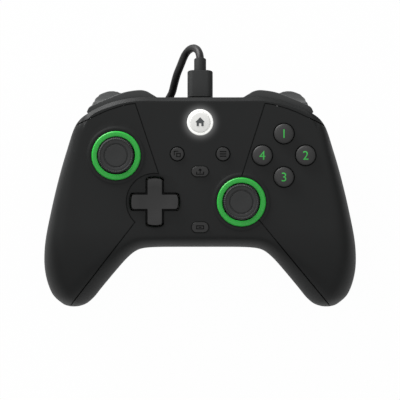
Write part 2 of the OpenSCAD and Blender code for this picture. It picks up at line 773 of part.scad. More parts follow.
module home_button() {
    color(lamp_white)
    translate([0, home_y, 0]) {
        translate([0, 0, small_low]) cylinder(r = 1.8, h = face_z - small_low);
        rotate_extrude()
        polygon([[0, face_z - wall - 0.6], [home_r, face_z - wall - 0.6], [home_r, face_z + small_rise - 0.4],
            [home_r - 0.4, face_z + small_rise], [0, face_z + small_rise + 0.2]]);
    }
}
module home_light_ring() {
    color(lamp_white)
    translate([0, home_y, 0])
    rotate_extrude()
    polygon([[home_r + button_gap, face_z - wall], [home_ring_r, face_z - wall], [home_ring_r, face_z + 0.2],
        [home_ring_r - 0.3, face_z + 0.5], [home_r + button_gap, face_z + 0.5]]);
    // Flange behind the face
    color(lamp_white)
    translate([0, home_y, face_z - wall - 0.9])
    difference() {
        cylinder(r = home_ring_r + 0.8, h = 0.9);
        translate([0, 0, -1]) cylinder(r = home_r + button_gap, h = 3);
    }
}
switch_places = [[-small_button_x, small_button_y], [small_button_x, small_button_y],
    [0, upper_pill_y], [0, lower_pill_y], [0, home_y]];
module button_switches() {
    color("gray")
    for (p = switch_places)
        translate([p.x, p.y, board_z]) {
            translate([-2.6, -2.6, 0]) cube([5.2, 5.2, switch_h - 1.2]);
            cylinder(r = 1.5, h = switch_h);
        }
}

// Bumper: inner and outer plan points along its length, and how far its top lies below bumper_top
bumper_rows = [
    [20.9, 47.9, 20.5, 49.2, 0],
    [24, 47.4, 23.8, 51.2, 0],
    [27, 47.3, 26.4, 52.6, 0],
    [30.5, 47.3, 30, 53.1, 0],
    [36, 46.9, 37.2, 52, 0],
    [42.5, 44.6, 45, 49.1, 0],
    [48, 42.1, 51.2, 46.2, 0.4],
    [51.3, 40.7, 54, 43.8, 0.9],
    [53.2, 39.8, 54.9, 41.3, 1.3]
];
// Profile across a bumper: share of the width and share of the height
bumper_profile = [[0, 0], [0, 1], [0.45, 0.97], [0.72, 0.9], [0.9, 0.74], [1, 0.45], [0.98, 0.12], [0.9, 0]];
bumper_arm = [48, 51];
bumper_arm_y = 37.5;
pin_sink = 5;
module bumper() {
    difference() {
        union() {
            ring_block([for (r = curve(bumper_rows, 2)) let (top = bumper_top - r[4])
                [for (q = bumper_profile) [r[0] + q[0]*(r[2] - r[0]), r[1] + q[0]*(r[3] - r[1]),
                    bumper_z + q[1]*(top - bumper_z)]]]);
            translate([bumper_hinge.x, bumper_hinge.y, bumper_z])
            cylinder(r = bumper_boss_r, h = bumper_h - 0.4);
            translate([bumper_arm[0], bumper_arm_y, bumper_z + 0.4])
            cube([bumper_arm[1] - bumper_arm[0], 6, 3]);
        }
        translate([bumper_hinge.x, bumper_hinge.y, bumper_z - 1])
        cylinder(r = bumper_pin_r + run_gap, h = bumper_h + 2);
    }
}
module right_bumper() { color("#4a4a4a") bumper(); }
module left_bumper() { color("#4a4a4a") mirror([1, 0, 0]) bumper(); }
module bumper_pins() {
    color(steel)
    for (s = [-1, 1])
        translate([s*bumper_hinge.x, bumper_hinge.y, bumper_z - pin_sink])
        cylinder(r = bumper_pin_r, h = pin_sink + bumper_h - 0.2);
}
bumper_switch_y = 33.2;
module bumper_switches() {
    color("gray")
    for (s = [-1, 1])
        translate([s*(bumper_arm[0] + bumper_arm[1])/2, bumper_switch_y, board_z]) {
            translate([-3, -1.6, 0]) cube([6, 3.2, bumper_z + 3.6 - board_z]);
            translate([0, 1, bumper_z + 1.9 - board_z]) rotate([-90, 0, 0])
            cylinder(r = 1.2, h = bumper_arm_y - bumper_switch_y - 2.1);
        }
}

// Trigger: side profile in Y and Z as seen from the right, and the plan of its finger face
trigger_top = bumper_z - 0.8;
trigger_shoulder = [43.6, 46];
trigger_neck = 2.4;
// Finger face: place along Y and depth below the trigger's top
trigger_face = [[47.2, -1.2], [47.3, -5], [46.9, -10], [47.2, -14.4], [48.6, -18.4], [50.6, -21.6],
    [51.8, -23.4], [51.6, -24.8], [50, -24.8], [47.6, -22.6]];
// Reach of the finger face: distance from the inner side and place along Y
trigger_reach = [[0, 50], [1.2, 51.3], [4.8, 51.8], [9.4, 50.4], [12.2, 48.2], [14.2, 45.4]];
trigger_outer_y = 42;
trigger_root_y = 20;
trigger_side = concat(
    [trigger_hinge, trigger_hinge + [trigger_neck, trigger_neck]],
    [for (y = trigger_shoulder) [y, trigger_top]],
    curve([for (p = trigger_face) p + [0, trigger_top]], 3),
    [for (a = [-44:-8:-92]) trigger_hinge + sweep_r*[cos(a), sin(a)]]);
trigger_plan = concat([[trigger_x0, trigger_root_y]],
    curve(concat([for (p = trigger_reach) p + [trigger_x0, 0]], [[trigger_x1, trigger_outer_y]]), 3),
    [[trigger_x1, trigger_root_y]]);
barrel_r = trigger_pin_r + 1.5;
spring_w = 3.4;
module trigger() {
    difference() {
        union() {
            intersection() {
                translate([trigger_x0, 0, 0]) rotate([90, 0, 90])
                linear_extrude(trigger_x1 - trigger_x0) polygon(trigger_side);
                linear_extrude(face_z) polygon(trigger_plan);
            }
            translate([trigger_x0, trigger_hinge.x, trigger_hinge.y]) rotate([0, 90, 0])
            cylinder(r = barrel_r, h = trigger_x1 - trigger_x0);
        }
        translate([trigger_x0 - 1, trigger_hinge.x, trigger_hinge.y]) rotate([0, 90, 0]) {
            cylinder(r = trigger_pin_r + run_gap, h = trigger_x1 - trigger_x0 + 2);
            cylinder(r = barrel_r + 0.5, h = spring_w + 1);
        }
    }
}
module right_trigger() { color("#505050") trigger(); }
module left_trigger() { color("#505050") mirror([1, 0, 0]) trigger(); }
cheek_t = 1.5;
cheek_r = trigger_pin_r + 1.1;
module trigger_bracket() {
    x0 = trigger_x0 - trigger_gap - cheek_t;
    x1 = trigger_x1 + trigger_gap;
    bar_z = mid_z + wall + 0.6;
    difference() {
        union() {
            for (x = [x0, x1]) {
                translate([x, bracket_y, bar_z])
                cube([cheek_t, trigger_hinge.x - bracket_y, trigger_hinge.y + cheek_r - bar_z]);
                translate([x, trigger_hinge.x, trigger_hinge.y]) rotate([0, 90, 0])
                cylinder(r = cheek_r, h = cheek_t);
            }
            translate([x0, bracket_y, bar_z])
            cube([x1 + cheek_t - x0, bracket_t, trigger_hinge.y + cheek_r - bar_z]);
            translate([bracket_leg[0], bracket_y, bracket_pad_z])
            cube([bracket_leg[1] - bracket_leg[0], bracket_t, bar_z - bracket_pad_z + 0.1]);
        }
        translate([x0 - 1, trigger_hinge.x, trigger_hinge.y]) rotate([0, 90, 0])
        cylinder(r = trigger_pin_r, h = x1 - x0 + cheek_t + 2);
    }
}
module right_trigger_bracket() { color("gray") trigger_bracket(); }
module left_trigger_bracket() { color("gray") mirror([1, 0, 0]) trigger_bracket(); }
module trigger_pins() {
    x0 = trigger_x0 - trigger_gap - cheek_t;
    x1 = trigger_x1 + trigger_gap + cheek_t;
    color(steel)
    for (s = [-1, 1])
        translate([s*(x0 + x1)/2, trigger_hinge.x, trigger_hinge.y]) rotate([0, 90, 0])
        cylinder(r = trigger_pin_r, h = x1 - x0, center = true);
}
// Torsion spring: a close helix around the pin, in the trigger's notch
spring_wire = 0.8;
spring_turns = 2.5;
spring_steps = 8;
spring_r = trigger_pin_r/cos(180/spring_steps) + 0.02 + spring_wire/2;
module trigger_springs() {
    x = trigger_x0 + 0.6;
    pitch = (spring_w - 1.2)/(spring_turns*spring_steps);
    leg = [x, bracket_y + bracket_t - trigger_hinge.x, -spring_r];
    path = concat([leg], [for (k = [0:spring_turns*spring_steps]) let (a = 360*k/spring_steps - 90)
        [x + pitch*k, spring_r*cos(a), spring_r*sin(a)]]);
    rings = [for (k = [0:len(path) - 1]) let (a = 360*max(0, k - 1)/spring_steps - 90)
        [for (j = [0:5]) path[k] + spring_wire/2*(cos(60*j)*[0, cos(a), sin(a)] + sin(60*j)*[-1, 0, 0])]];
    color(steel)
    for (s = [0, 1])
        mirror([s, 0, 0]) translate([0, trigger_hinge.x, trigger_hinge.y]) ring_block(rings);
}

// Board outline, right half
board_half = [[0, -19], [7, -19], [7, -14.5], [31, -14.5], [35, -8], [36, 6], [48, 8], [57, 13], [57, 28],
    [53, 35],
    [12, 35], [12, 43.5], [0, 43.5]];
module main_board() {
    color(board_green)
    translate([0, 0, board_under])
    linear_extrude(board_t)
    for (s = [0, 1])
        mirror([s, 0]) polygon(board_half);
}
shaft_r = 1;
weight_w = 7;
module rumble_motor(s) {
    color(steel)
    translate([s*motor_at.x, motor_at.y + motor_l/2, motor_at.z]) rotate([90, 0, 0])
    difference() {
        union() {
            cylinder(r = motor_r, h = motor_l);
            cylinder(r = 3, h = motor_l + 1.2);
        }
        translate([0, 0, motor_l - 5]) cylinder(r = shaft_r + run_gap, h = 10);
    }
}
module left_rumble_motor() { rumble_motor(-1); }
module right_rumble_motor() { rumble_motor(1); }
module rumble_weight(s, r) {
    color("gray")
    translate([s*motor_at.x, motor_at.y - motor_l/2, motor_at.z]) rotate([90, 0, 0]) {
        translate([0, 0, -4.5]) cylinder(r = shaft_r, h = 6.5 + weight_w);
        translate([0, 0, 2]) cylinder(r = shaft_r + 1.4, h = weight_w);
        translate([0, 0, 2]) intersection() {
            cylinder(r = r, h = weight_w);
            translate([-r, -r, 0]) cube([2*r, r, weight_w]);
        }
    }
}
module left_rumble_weight() { rumble_weight(-1, weight_r); }
module right_rumble_weight() { rumble_weight(1, weight_r - 2); }

plug_tongue = [8.3, 2.5];
tongue_l = 6.4;
module usb_socket() {
    color(steel) {
        difference() {
            union() {
                at_port() translate([0, 0, -socket_l - 1.4])
                round_bar(socket_w, socket_t, socket_t/2 - 0.1, socket_l);
                translate([-socket_w/2, 41, board_z]) cube([socket_w, 2.5, 3.4]);
            }
            at_port() translate([0, 0, -tongue_l - 1.6])
            round_bar(plug_tongue.x + 0.2, plug_tongue.y + 0.2, 1.2, socket_l);
        }
    }
}
module headset_jack() {
    color("gray")
    difference() {
        union() {
            translate([0, -21.8, jack_z]) rotate([-90, 0, 0]) cylinder(r = jack_r, h = 7);
            translate([-4, -15.5, board_under - 6]) cube([8, 7, 6]);
        }
        translate([0, -22.8, jack_z]) rotate([-90, 0, 0]) cylinder(r = jack_bore, h = 13);
    }
}
module case_screws() {
    color(steel)
    for (p = screw_places, s = [-1, 1])
        translate([s*p.x, p.y, screw_seat(p)])
        difference() {
            union() {
                cylinder(r = screw_r, h = screw_l - 0.2);
                translate([0, 0, -1.6]) cylinder(r = screw_head_r, h = 1.6);
            }
            translate([0, 0, -2.6]) cylinder(r = 1.2, h = 2, $fn = 6);
        }
}

// Cable: plug at the port, then the lead, the coil under the body and the far plug
plug_start = 0.3;
neck_r = 2.95;
neck_l = 6.8;
neck_edge = 0.4;
module usb_plug() {
    color(body_black)
    at_port() translate([0, 0, plug_start]) round_bar(plug_w, plug_t, plug_t/2 - 0.6, plug_l);
}
module usb_plug_shell() {
    color(steel)
    at_port() translate([0, 0, plug_start - tongue_l])
    round_bar(plug_tongue.x, plug_tongue.y, 1.15, tongue_l);
}
module plug_strain_relief() {
    color(body_black)
    at_port() translate([0, 0, plug_start + plug_l])
    rotate_extrude()
    polygon([[0, 0], [neck_r, 0], [neck_r, neck_l - neck_edge], [neck_r - neck_edge, neck_l], [0, neck_l]]);
}

coil_at = [-7.4, 13];
coil_from = 140;
coil_layers = 4;
coil_pitch = cord_d + turn_gap;
layer_pitch = cord_d + layer_gap;
coil_low = tie_t + 0.25 + cord_d/2;
coil_out_r = coil_in_r + coil_pitch*layer_turns;
loop_rings = 24;
coil_rings = round(coil_layers*layer_turns*loop_rings);
// Place along the coil, counted in turns: each layer spirals the other way from the last
function coil_point(turn) = let (
    layer = min(coil_layers - 1, floor(turn/layer_turns)), part = turn - layer*layer_turns,
    out = layer % 2 == 1 ? part : layer_turns - part, edge = round(turn/layer_turns),
    level = edge == 0 ? 0 : edge == coil_layers ? coil_layers - 1 :
        edge - 1 + smooth(2*(turn - edge*layer_turns) + 0.5),
    r = coil_in_r + coil_pitch*out, a = coil_from + 360*turn)
    [coil_at.x + r*cos(a), coil_at.y + r*sin(a), coil_low + layer_pitch*level];
function coil_heading(a) = [-sin(a), cos(a), 0];
coil_end = coil_from + 360*coil_layers*layer_turns;
coil_start_t = coil_heading(coil_from);
coil_end_t = coil_heading(coil_end);
coil_entry = coil_point(0) - cord_d*coil_start_t;
coil_exit = coil_point(coil_layers*layer_turns) + cord_d*coil_end_t;
coil_path = concat([coil_entry],
    [for (k = [0:coil_rings]) coil_point(coil_layers*layer_turns*k/coil_rings)], [coil_exit]);
// Least gap between turns, over points at least half a turn apart
coil_gap = min([for (i = [0:len(coil_path) - 1 - loop_rings/2])
    min([for (j = [i + loop_rings/2:len(coil_path) - 1]) norm(coil_path[i] - coil_path[j])])]) - cord_d;
echo(str("least gap between turns of the coil: ", coil_gap, " mm"));

plug_heading = [0, cos(plug_tilt), -sin(plug_tilt)];
cord_exit = port_at + (plug_start + plug_l + neck_l)*plug_heading;
far_plug_at = [34.2, 3];
far_plug_t = 8;
far_axis_z = far_plug_t/2;
// Loop behind the neck: an arc of even bend that rolls to the left and down out of the plug's heading
loop_r = 8;
loop_turn = 140;
loop_roll = 55;
loop_side = [-cos(loop_roll), -sin(loop_roll)*sin(plug_tilt), -sin(loop_roll)*cos(plug_tilt)];
function loop_point(a) = cord_exit + loop_r*(sin(a)*plug_heading + (1 - cos(a))*loop_side);
// Hand-chosen route of the lead, from the loop down under the body
lead_route = [[-9.8, 65, 12.1], [-11.4, 61, 10.9], [-12.7, 56.4, 9.1], [-13.9, 52, 7.2], [-16.2, 48.2, 5.4],
    [-19.6, 44.6, 4], [-23.8, 40.2, 3.2]];
// Hand-chosen route of the tail, down off the coil to the far plug
tail_route = [[-1, -18.4, 14.8], [7, -17.6, 12.2], [15, -15.4, 9], [22.4, -12, 6.2], [28.4, -7.6, 4.6],
    [32.4, -2.6, 4.1]];
module cord_lead() {
    color("#1c1c1c")
    tube(concat([for (a = [0:20:loop_turn]) loop_point(a)], lead_route, [coil_entry]), cord_d, 6,
        plug_heading, coil_start_t);
}
module cord_coil() {
    color("#1c1c1c") tube(coil_path, cord_d, 6, coil_start_t, coil_end_t);
}
module cord_tail() {
    color("#1c1c1c")
    tube(concat([coil_exit], tail_route, [[far_plug_at.x, far_plug_at.y, far_axis_z]]), cord_d, 6,
        coil_end_t, [0, 1, 0]);
}
// Band around the coil's bundle, on the side away from the plugs
tie_angle = 225;
tie_w = 6;
module cord_tie() {
    high = coil_low + layer_pitch*(coil_layers - 1) + cord_d/2 + 0.25;
    inner = coil_in_r - cord_d/2 - 0.5;
    outer = coil_out_r + cord_d/2 + 0.4;
    color("#303030")
    translate([coil_at.x, coil_at.y, 0]) rotate(tie_angle) translate([0, tie_w/2, 0]) rotate([90, 0, 0])
    linear_extrude(tie_w)
    difference() {
        translate([inner - tie_t, 0]) square([outer - inner + 2*tie_t, high + tie_t]);
        translate([inner, tie_t]) square([outer - inner, high - tie_t]);
    }
}
far_body = [16, 20];
far_neck_l = 6;
far_shell = [12, 4.5, 12];
module at_far_plug() {
    translate([far_plug_at.x, far_plug_at.y, far_axis_z]) rotate([-90, 0, 0]) children();
}
module cord_plug() {
    color("#1c1c1c")
    at_far_plug() {
        cylinder(r1 = 2.5, r2 = 3.4, h = far_neck_l + 0.1);
        translate([0, 0, far_neck_l]) round_bar(far_body.x, far_plug_t, 2, far_body.y);
    }
}
module cord_plug_shell() {
    color(steel)
    at_far_plug() translate([0, 0, far_neck_l + far_body.y])
    difference() {
        translate([-far_shell.x/2, -far_shell.y/2, 0]) cube(far_shell);
        translate([-far_shell.x/2 + 0.4, -far_shell.y/2 + 0.4, 2])
        cube([far_shell.x - 0.8, 1.9, far_shell.z]);
    }
}

module left_stick_ring() { stick_ring(left_stick); }
module right_stick_ring() { stick_ring(right_stick); }
module left_stick_housing() { stick_housing(left_stick); }
module right_stick_housing() { stick_housing(right_stick); }
module left_stick_yoke() { stick_yoke(left_stick); }
module right_stick_yoke() { stick_yoke(right_stick); }
module left_stick_pivot() { stick_pivot(left_stick); }
module right_stick_pivot() { stick_pivot(right_stick); }
module left_stick_shaft() { stick_shaft(left_stick); }
module right_stick_shaft() { stick_shaft(right_stick); }
module left_stick_cap() { color(button_grey) stick_cap(left_stick); }
module right_stick_cap() { color(button_grey) stick_cap(right_stick); }

center_faceplate();
left_front_panel();
right_front_panel();
back_shell();
left_stick_ring();
right_stick_ring();
left_stick_housing();
right_stick_housing();
left_stick_yoke();
right_stick_yoke();
left_stick_pivot();
right_stick_pivot();
left_stick_shaft();
right_stick_shaft();
left_stick_cap();
right_stick_cap();
dpad();
dpad_ball();
dpad_post();
dpad_membrane();
face_button_top();
face_button_left();
face_button_right();
face_button_bottom();
face_button_membrane();
view_button();
menu_button();
share_button();
profile_button();
home_button();
home_light_ring();
button_switches();
left_bumper();
right_bumper();
bumper_pins();
bumper_switches();
left_trigger();
right_trigger();
left_trigger_bracket();
right_trigger_bracket();
trigger_pins();
trigger_springs();
main_board();
left_rumble_motor();
right_rumble_motor();
left_rumble_weight();
right_rumble_weight();
usb_socket();
headset_jack();
case_screws();
usb_plug();
usb_plug_shell();
plug_strain_relief();
cord_lead();
cord_coil();
cord_tie();
cord_tail();
cord_plug();
cord_plug_shell();
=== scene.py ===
"""Looks of a wired gamepad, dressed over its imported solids. Lengths are metres in the solids' frame."""
import json
import math

import bpy
from bpy.props import FloatProperty, FloatVectorProperty, PointerProperty
from mathutils import Matrix, Vector


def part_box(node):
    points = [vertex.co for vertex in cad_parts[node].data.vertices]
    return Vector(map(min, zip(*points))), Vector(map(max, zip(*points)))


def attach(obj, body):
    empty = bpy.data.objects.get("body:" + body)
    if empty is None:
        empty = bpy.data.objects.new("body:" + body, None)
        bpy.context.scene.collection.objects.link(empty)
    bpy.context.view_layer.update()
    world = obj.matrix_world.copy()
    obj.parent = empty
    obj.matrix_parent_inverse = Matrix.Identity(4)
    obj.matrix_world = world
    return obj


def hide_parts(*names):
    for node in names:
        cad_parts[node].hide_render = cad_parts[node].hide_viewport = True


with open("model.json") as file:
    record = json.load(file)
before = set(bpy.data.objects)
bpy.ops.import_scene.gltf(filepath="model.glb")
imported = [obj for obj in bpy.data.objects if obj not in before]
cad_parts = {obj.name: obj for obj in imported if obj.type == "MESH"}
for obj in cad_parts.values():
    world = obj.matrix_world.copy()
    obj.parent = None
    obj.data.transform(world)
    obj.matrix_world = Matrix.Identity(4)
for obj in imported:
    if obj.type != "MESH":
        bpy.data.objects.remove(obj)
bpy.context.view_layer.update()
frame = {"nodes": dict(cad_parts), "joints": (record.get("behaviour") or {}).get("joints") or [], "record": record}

bl_info = {
    "name": "Wired Gamepad",
    "version": (1, 0, 0),
    "blender": (4, 5, 0),
    "location": "View3D > Sidebar > Gamepad",
    "description": "Builds the housing, controls, cable and finishes of a wired gamepad",
    "category": "Object",
}

MM = 0.001

# Cross sections of the right half of the housing, from the middle to the grip's end, in mm: the outer
# end's x and y, the inner end's x and y, and how far in from each end the face is rounded.
SECTIONS = [
    (0, 49.5, 0, -23.7, 2.2, 6),
    (17, 49.5, 11, -23.7, 2.2, 6),
    (32, 49.4, 21, -23.8, 2.2, 6),
    (44, 46.8, 27.5, -24.3, 2.2, 6.5),
    (54.4, 42, 31, -25.4, 2.4, 7),
    (60.8, 36, 34, -27.5, 8, 8),
    (65.3, 23.5, 37, -30.4, 10, 9),
    (69.2, 10, 40.5, -34.4, 12, 10.5),
    (73, -6, 44.3, -38.9, 13, 12),
    (76, -22.2, 48.2, -43.6, 13.5, 13),
    (76.1, -35.3, 52, -48.3, 13.5, 13),
    (72.9, -46.2, 55.6, -51.4, 13, 13),
    (67.6, -51.6, 59.2, -52.8, 13, 13),
    (63.8, -53, 62, -53.1, 13, 13),
]
LAST_SECTION = len(SECTIONS) - 1
HOLLOW_END = LAST_SECTION - 1.85
UNDER_ROUND = 1.5
DROP_FROM, TIP_Y = -14, -53
LOBE_IN, LOBE_OUT = 38, 47
LIFT_FROM, LIFT_TO = 20, 48
PART_FROM, PART_RUN = 44, 26

# Groove along the rear of a side panel, and the end of its seam along the grip, in mm
GROOVE = [(62, 35.3), (57.5, 37.4), (51.6, 40.2), (45.8, 42.8), (40.5, 44.6), (35.6, 45.95), (31.7, 46.5)]
GRIP_SEAM_END = (63, -51.75)
PLAN_FAR = 90

# Bumper: inner and outer plan points along its length and the drop of its top, in mm
BUMPER_ROWS = [
    (20.9, 47.9, 20.5, 49.2, 0),
    (24, 47.4, 23.8, 51.2, 0),
    (27, 47.3, 26.4, 52.6, 0),
    (30.5, 47.3, 30, 53.1, 0),
    (36, 46.9, 37.2, 52, 0),
    (42.5, 44.6, 45, 49.1, 0),
    (48, 42.1, 51, 46.5, 0.4),
    (51.3, 40.7, 54.2, 44.8, 0.9),
    (53.4, 39.8, 55.5, 42.4, 1.3),
]
# Corners of a bumper's cross section, as shares of the way out and of its height
BUMPER_PROFILE = [
    (0, 0), (0, 1), (0.5, 0.99), (0.94, 0.96), (0.985, 0.93), (1, 0.86), (1, 0.3), (0.98, 0.1), (0.9, 0),
]

# Route of the cord in mm: the lead from the loop to the coil, and the tail to the far plug
LEAD_ROUTE = [
    (-9.8, 65, 12.1), (-11.4, 61, 10.9), (-12.7, 56.4, 9.1), (-13.9, 52, 7.2), (-16.2, 48.2, 5.4),
    (-19.6, 44.6, 4), (-23.8, 40.2, 3.2),
]
TAIL_ROUTE = [
    (-1, -18.4, 14.8), (7, -17.6, 12.2), (15, -15.4, 9), (22.4, -12, 6.2), (28.4, -7.6, 4.6),
    (32.4, -2.6, 4.1),
]


def length(name, text, mm):
    return FloatProperty(name=name, description=text, default=mm*MM, unit="LENGTH", precision=4)


def tint(name, text, red, green, blue):
    """Colour property from the 0 to 255 values that a picture shows."""
    def linear(level):
        share = level/255
        return share/12.92 if share <= 0.04045 else ((share + 0.055)/1.055)**2.4
    return FloatVectorProperty(name=name, description=text, subtype="COLOR", size=3, min=0, max=1,
                               default=[linear(level) for level in (red, green, blue)])


class GamepadSizes(bpy.types.PropertyGroup):
    face_z: length("Face height", "Height of the flat face above the table", 47)
    mid_z: length("Middle height", "Height of the underside between the grips", 20)
    wall: length("Wall", "Wall of the mouldings", 2.2)
    grip_drop: length("Grip drop", "Drop of the face at the grip ends", 16)
    side_depth: length("Side depth", "Depth of the front moulding's side walls", 14)
    rear_depth: length("Rear depth", "Depth of the rolled rear edge", 4)
    rear_lift: length("Rear lift", "Rise of the back under the triggers", 11)
    land: length("Land", "Flat land beside the parting line", 0.6)
    seam: length("Seam", "Width of the seams between the front mouldings", 0.5)
    ring_r: length("Ring radius", "Outer radius of the coloured ring around a stick", 12)
    ring_bore: length("Ring bore", "Bore radius of the coloured ring", 9.3)
    ring_rise: length("Ring rise", "Height of the ring above the face", 1)
    dish_w: length("Dish width", "Width of the sloping edge of the dish around a ring", 2.3)
    dish_depth: length("Dish depth", "Depth of that dish", 0.6)
    pivot_depth: length("Pivot depth", "Depth of a stick's pivot below the face", 9.5)
    cap_r: length("Cap radius", "Radius of a thumb cap", 9)
    cap_lift: length("Cap lift", "Height of a cap's lower edge above the face", 6)
    cap_t: length("Cap thickness", "Thickness of a thumb cap", 5.4)
    dpad_span: length("Cross span", "Span of the direction pad's cross", 22.8)
    dpad_arm: length("Arm width", "Width of an arm of the cross", 6.9)
    dpad_gap: length("Cross gap", "Gap around the cross", 1.1)
    dpad_rise: length("Cross rise", "Height of the cross above the face", 2.2)
    face_button_r: length("Face button radius", "Radius of a face button", 4.8)
    face_button_rise: length("Face button rise", "Height of a face button above the face", 2.4)
    button_gap: length("Button gap", "Gap around every button", 0.3)
    small_button_r: length("Small button radius", "Radius of the two small round buttons", 3.2)
    small_rise: length("Small button rise", "Height of the small buttons above the face", 0.8)
    pill_l: length("Pill length", "Length of the two pill buttons", 8.3)
    pill_w: length("Pill width", "Width of the two pill buttons", 5)
    home_r: length("Home radius", "Radius of the home button", 5.1)
    home_ring_r: length("Light ring radius", "Outer radius of the lit ring around the home button", 6.38)
    bumper_h: length("Bumper height", "Height of a bumper", 7)
    trigger_x0: length("Trigger inner side", "Inner side of a trigger", 38.2)
    trigger_x1: length("Trigger outer side", "Outer side of a trigger", 53.4)
    plug_w: length("Plug width", "Width of the plug's moulded body", 12.4)
    plug_t: length("Plug thickness", "Thickness of the plug's moulded body", 7)
    plug_l: length("Plug length", "Length of the plug's moulded body", 14)
    cord_d: length("Cord diameter", "Diameter of the cord", 3.8)
    turn_gap: length("Turn gap", "Gap between neighbouring turns of the coil", 0.6)
    layer_gap: length("Layer gap", "Gap between the layers of the coil", 0.5)
    coil_in_r: length("Coil radius", "Radius of the coil's innermost turn", 11.3)


class GamepadFinishes(bpy.types.PropertyGroup):
    shell: tint("Shell", "Matt moulding of the housing", 31, 32, 32)
    button: tint("Buttons", "Satin moulding of the buttons and the cross", 55, 55, 55)
    small: tint("Small buttons", "Satin moulding of the small system buttons", 47, 47, 47)
    bumper: tint("Bumpers", "Glossy moulding of the bumpers and triggers", 58, 59, 59)
    thumb: tint("Thumb caps", "Rubber of the thumb caps", 44, 45, 45)
    ring: tint("Rings", "Coloured rings around the sticks", 51, 188, 71)
    glyph: tint("Glyphs", "Printed marks on the face buttons", 66, 190, 84)
    mark: tint("Small marks", "Dark printed marks on the small buttons", 10, 10, 10)
    sign: tint("Home sign", "Grey sign on the home button", 84, 87, 88)
    lamp: tint("Lamp", "Frosted home button and its lit ring", 235, 235, 232)
    cord: tint("Cord", "Jacket of the cord", 15, 15, 15)
    plug: tint("Plugs", "Satin moulding of the plugs", 44, 45, 45)
    steel: tint("Steel", "Pins, shafts, screws and plug shells", 178, 178, 182)
    silicone: tint("Silicone", "Domes under the buttons", 150, 150, 144)
    board: tint("Board", "Solder mask of the board", 24, 74, 44)
    inner: tint("Inner plastic", "Plain mouldings inside the housing", 96, 96, 98)


class GamepadStage(bpy.types.PropertyGroup):
    frame_w: length("Frame width", "Width of the view at the height of the face", 195.6)
    view_x: length("View X", "Middle of the view along X", -0.05)
    view_y: length("View Y", "Middle of the view along Y", -0.73)
    camera_z: length("Camera height", "Height of the camera above the face", 5200)
    key_w: FloatProperty(name="Key lamp", description="Power of the soft lamp behind the rear edge",
                         default=12.0, subtype="POWER")
    world: FloatProperty(name="World", description="Strength of the soft light from overhead", default=0.85)


def sizes():
    return bpy.context.scene.gamepad_sizes


def finishes():
    return bpy.context.scene.gamepad_finishes


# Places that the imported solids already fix

def middle(node):
    low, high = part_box(node)
    return (low + high)/2


def stick_at(side):
    return middle(side + "_stick_ring").xy


def dpad_at():
    return middle("dpad").xy


# Curves and heights of the housing

def smooth(t):
    t = min(1, max(0, t))
    return t*t*(3 - 2*t)


def round_off(t, power=2):
    """Height over a rounded edge: a quarter circle, or a tighter corner with a higher power."""
    return 1 if t >= 1 else (1 - (1 - max(0, t))**power)**(1/power)


BEVEL_FOOT, BEVEL_REACH = 0.45, 0.86


def bevelled(t):
    """Height over a flat bevel above a short upright edge."""
    return min(1, BEVEL_FOOT + (1 - BEVEL_FOOT)*t/BEVEL_REACH)


def spline(points, t):
    """Point at t along a smooth curve through a list of number tuples."""
    last = len(points) - 1
    i = min(int(t), last - 1)
    f = t - i
    rows = [points[min(last, max(0, k))] for k in (i - 1, i, i + 1, i + 2)]
    return [b + f*(c - a)/2 + f*f*(a - 2.5*b + 2*c - d/2) + f**3*(1.5*b - 1.5*c + (d - a)/2)
            for a, b, c, d in zip(*rows)]


def smooth_curve(points, steps):
    return [spline(points, k/steps) for k in range(steps*(len(points) - 1) + 1)]


def section_at(t):
    """Section at t, where the first one is met by its own mirror image."""
    mirrored = (-SECTIONS[1][0], SECTIONS[1][1], -SECTIONS[1][2]) + SECTIONS[1][3:]
    return [v*MM for v in spline([mirrored] + SECTIONS, t + 1)]


def face_at(y):
    s = sizes()
    return s.face_z - s.grip_drop*max(0, (DROP_FROM*MM - y)/((DROP_FROM - TIP_Y)*MM))**2


def part_at(y):
    s = sizes()
    return face_at(y) - s.rear_depth - (s.side_depth - s.rear_depth)*smooth((PART_FROM*MM - y)/(PART_RUN*MM))


def back_at(x, y):
    s = sizes()
    lobe = smooth((abs(x) - LOBE_IN*MM)/((LOBE_OUT - LOBE_IN)*MM))
    lift = s.rear_lift*smooth((y - LIFT_FROM*MM)/((LIFT_TO - LIFT_FROM)*MM))
    return s.mid_z*(1 - lobe) + lift*lobe


# Shares of a section's points on each rounded end, and of its width that the two ends may take up
EDGE_SHARE, ENDS_SHARE = 0.3, 0.8
# The outer end is bevelled where its rounding in mm is below a value, and rounded more tightly up to a
# section, each with the width of the change
BEVEL_BELOW, BEVEL_FADE = 7, 2.5
TIGHT_TO, TIGHT_FADE, TIGHTER = 10, 2.5, 0.8


def across(t, v, inset):
    """Plan place at v across the section t, how far in it lies as a share of each end's rounding, how much
    of the outer end is bevelled instead of round, and how tight its rounding is."""
    ax, ay, bx, by, ra, rb = section_at(abs(t))
    bevel = smooth((BEVEL_BELOW*MM - ra)/(BEVEL_FADE*MM))
    power = 2 + TIGHTER*smooth((TIGHT_TO - abs(t))/TIGHT_FADE)
    side = -1 if t < 0 else 1
    outer, inner = Vector((side*ax, ay)), Vector((side*bx, by))
    span = (inner - outer).length
    run = span - 2*inset
    ra, rb = ra - inset/2, rb - inset/2
    k = min(1, ENDS_SHARE*run/(ra + rb))
    if v < EDGE_SHARE:
        d = run - k*rb*(1 - math.cos(math.pi/2*v/EDGE_SHARE))
    elif v > 1 - EDGE_SHARE:
        d = k*ra*(1 - math.cos(math.pi/2*(1 - v)/EDGE_SHARE))
    else:
        d = run - k*rb - (run - k*(ra + rb))*(v - EDGE_SHARE)/(1 - 2*EDGE_SHARE)
    return outer + (inset + d)*(inner - outer)/span, d/ra, (run - d)/rb, bevel, power


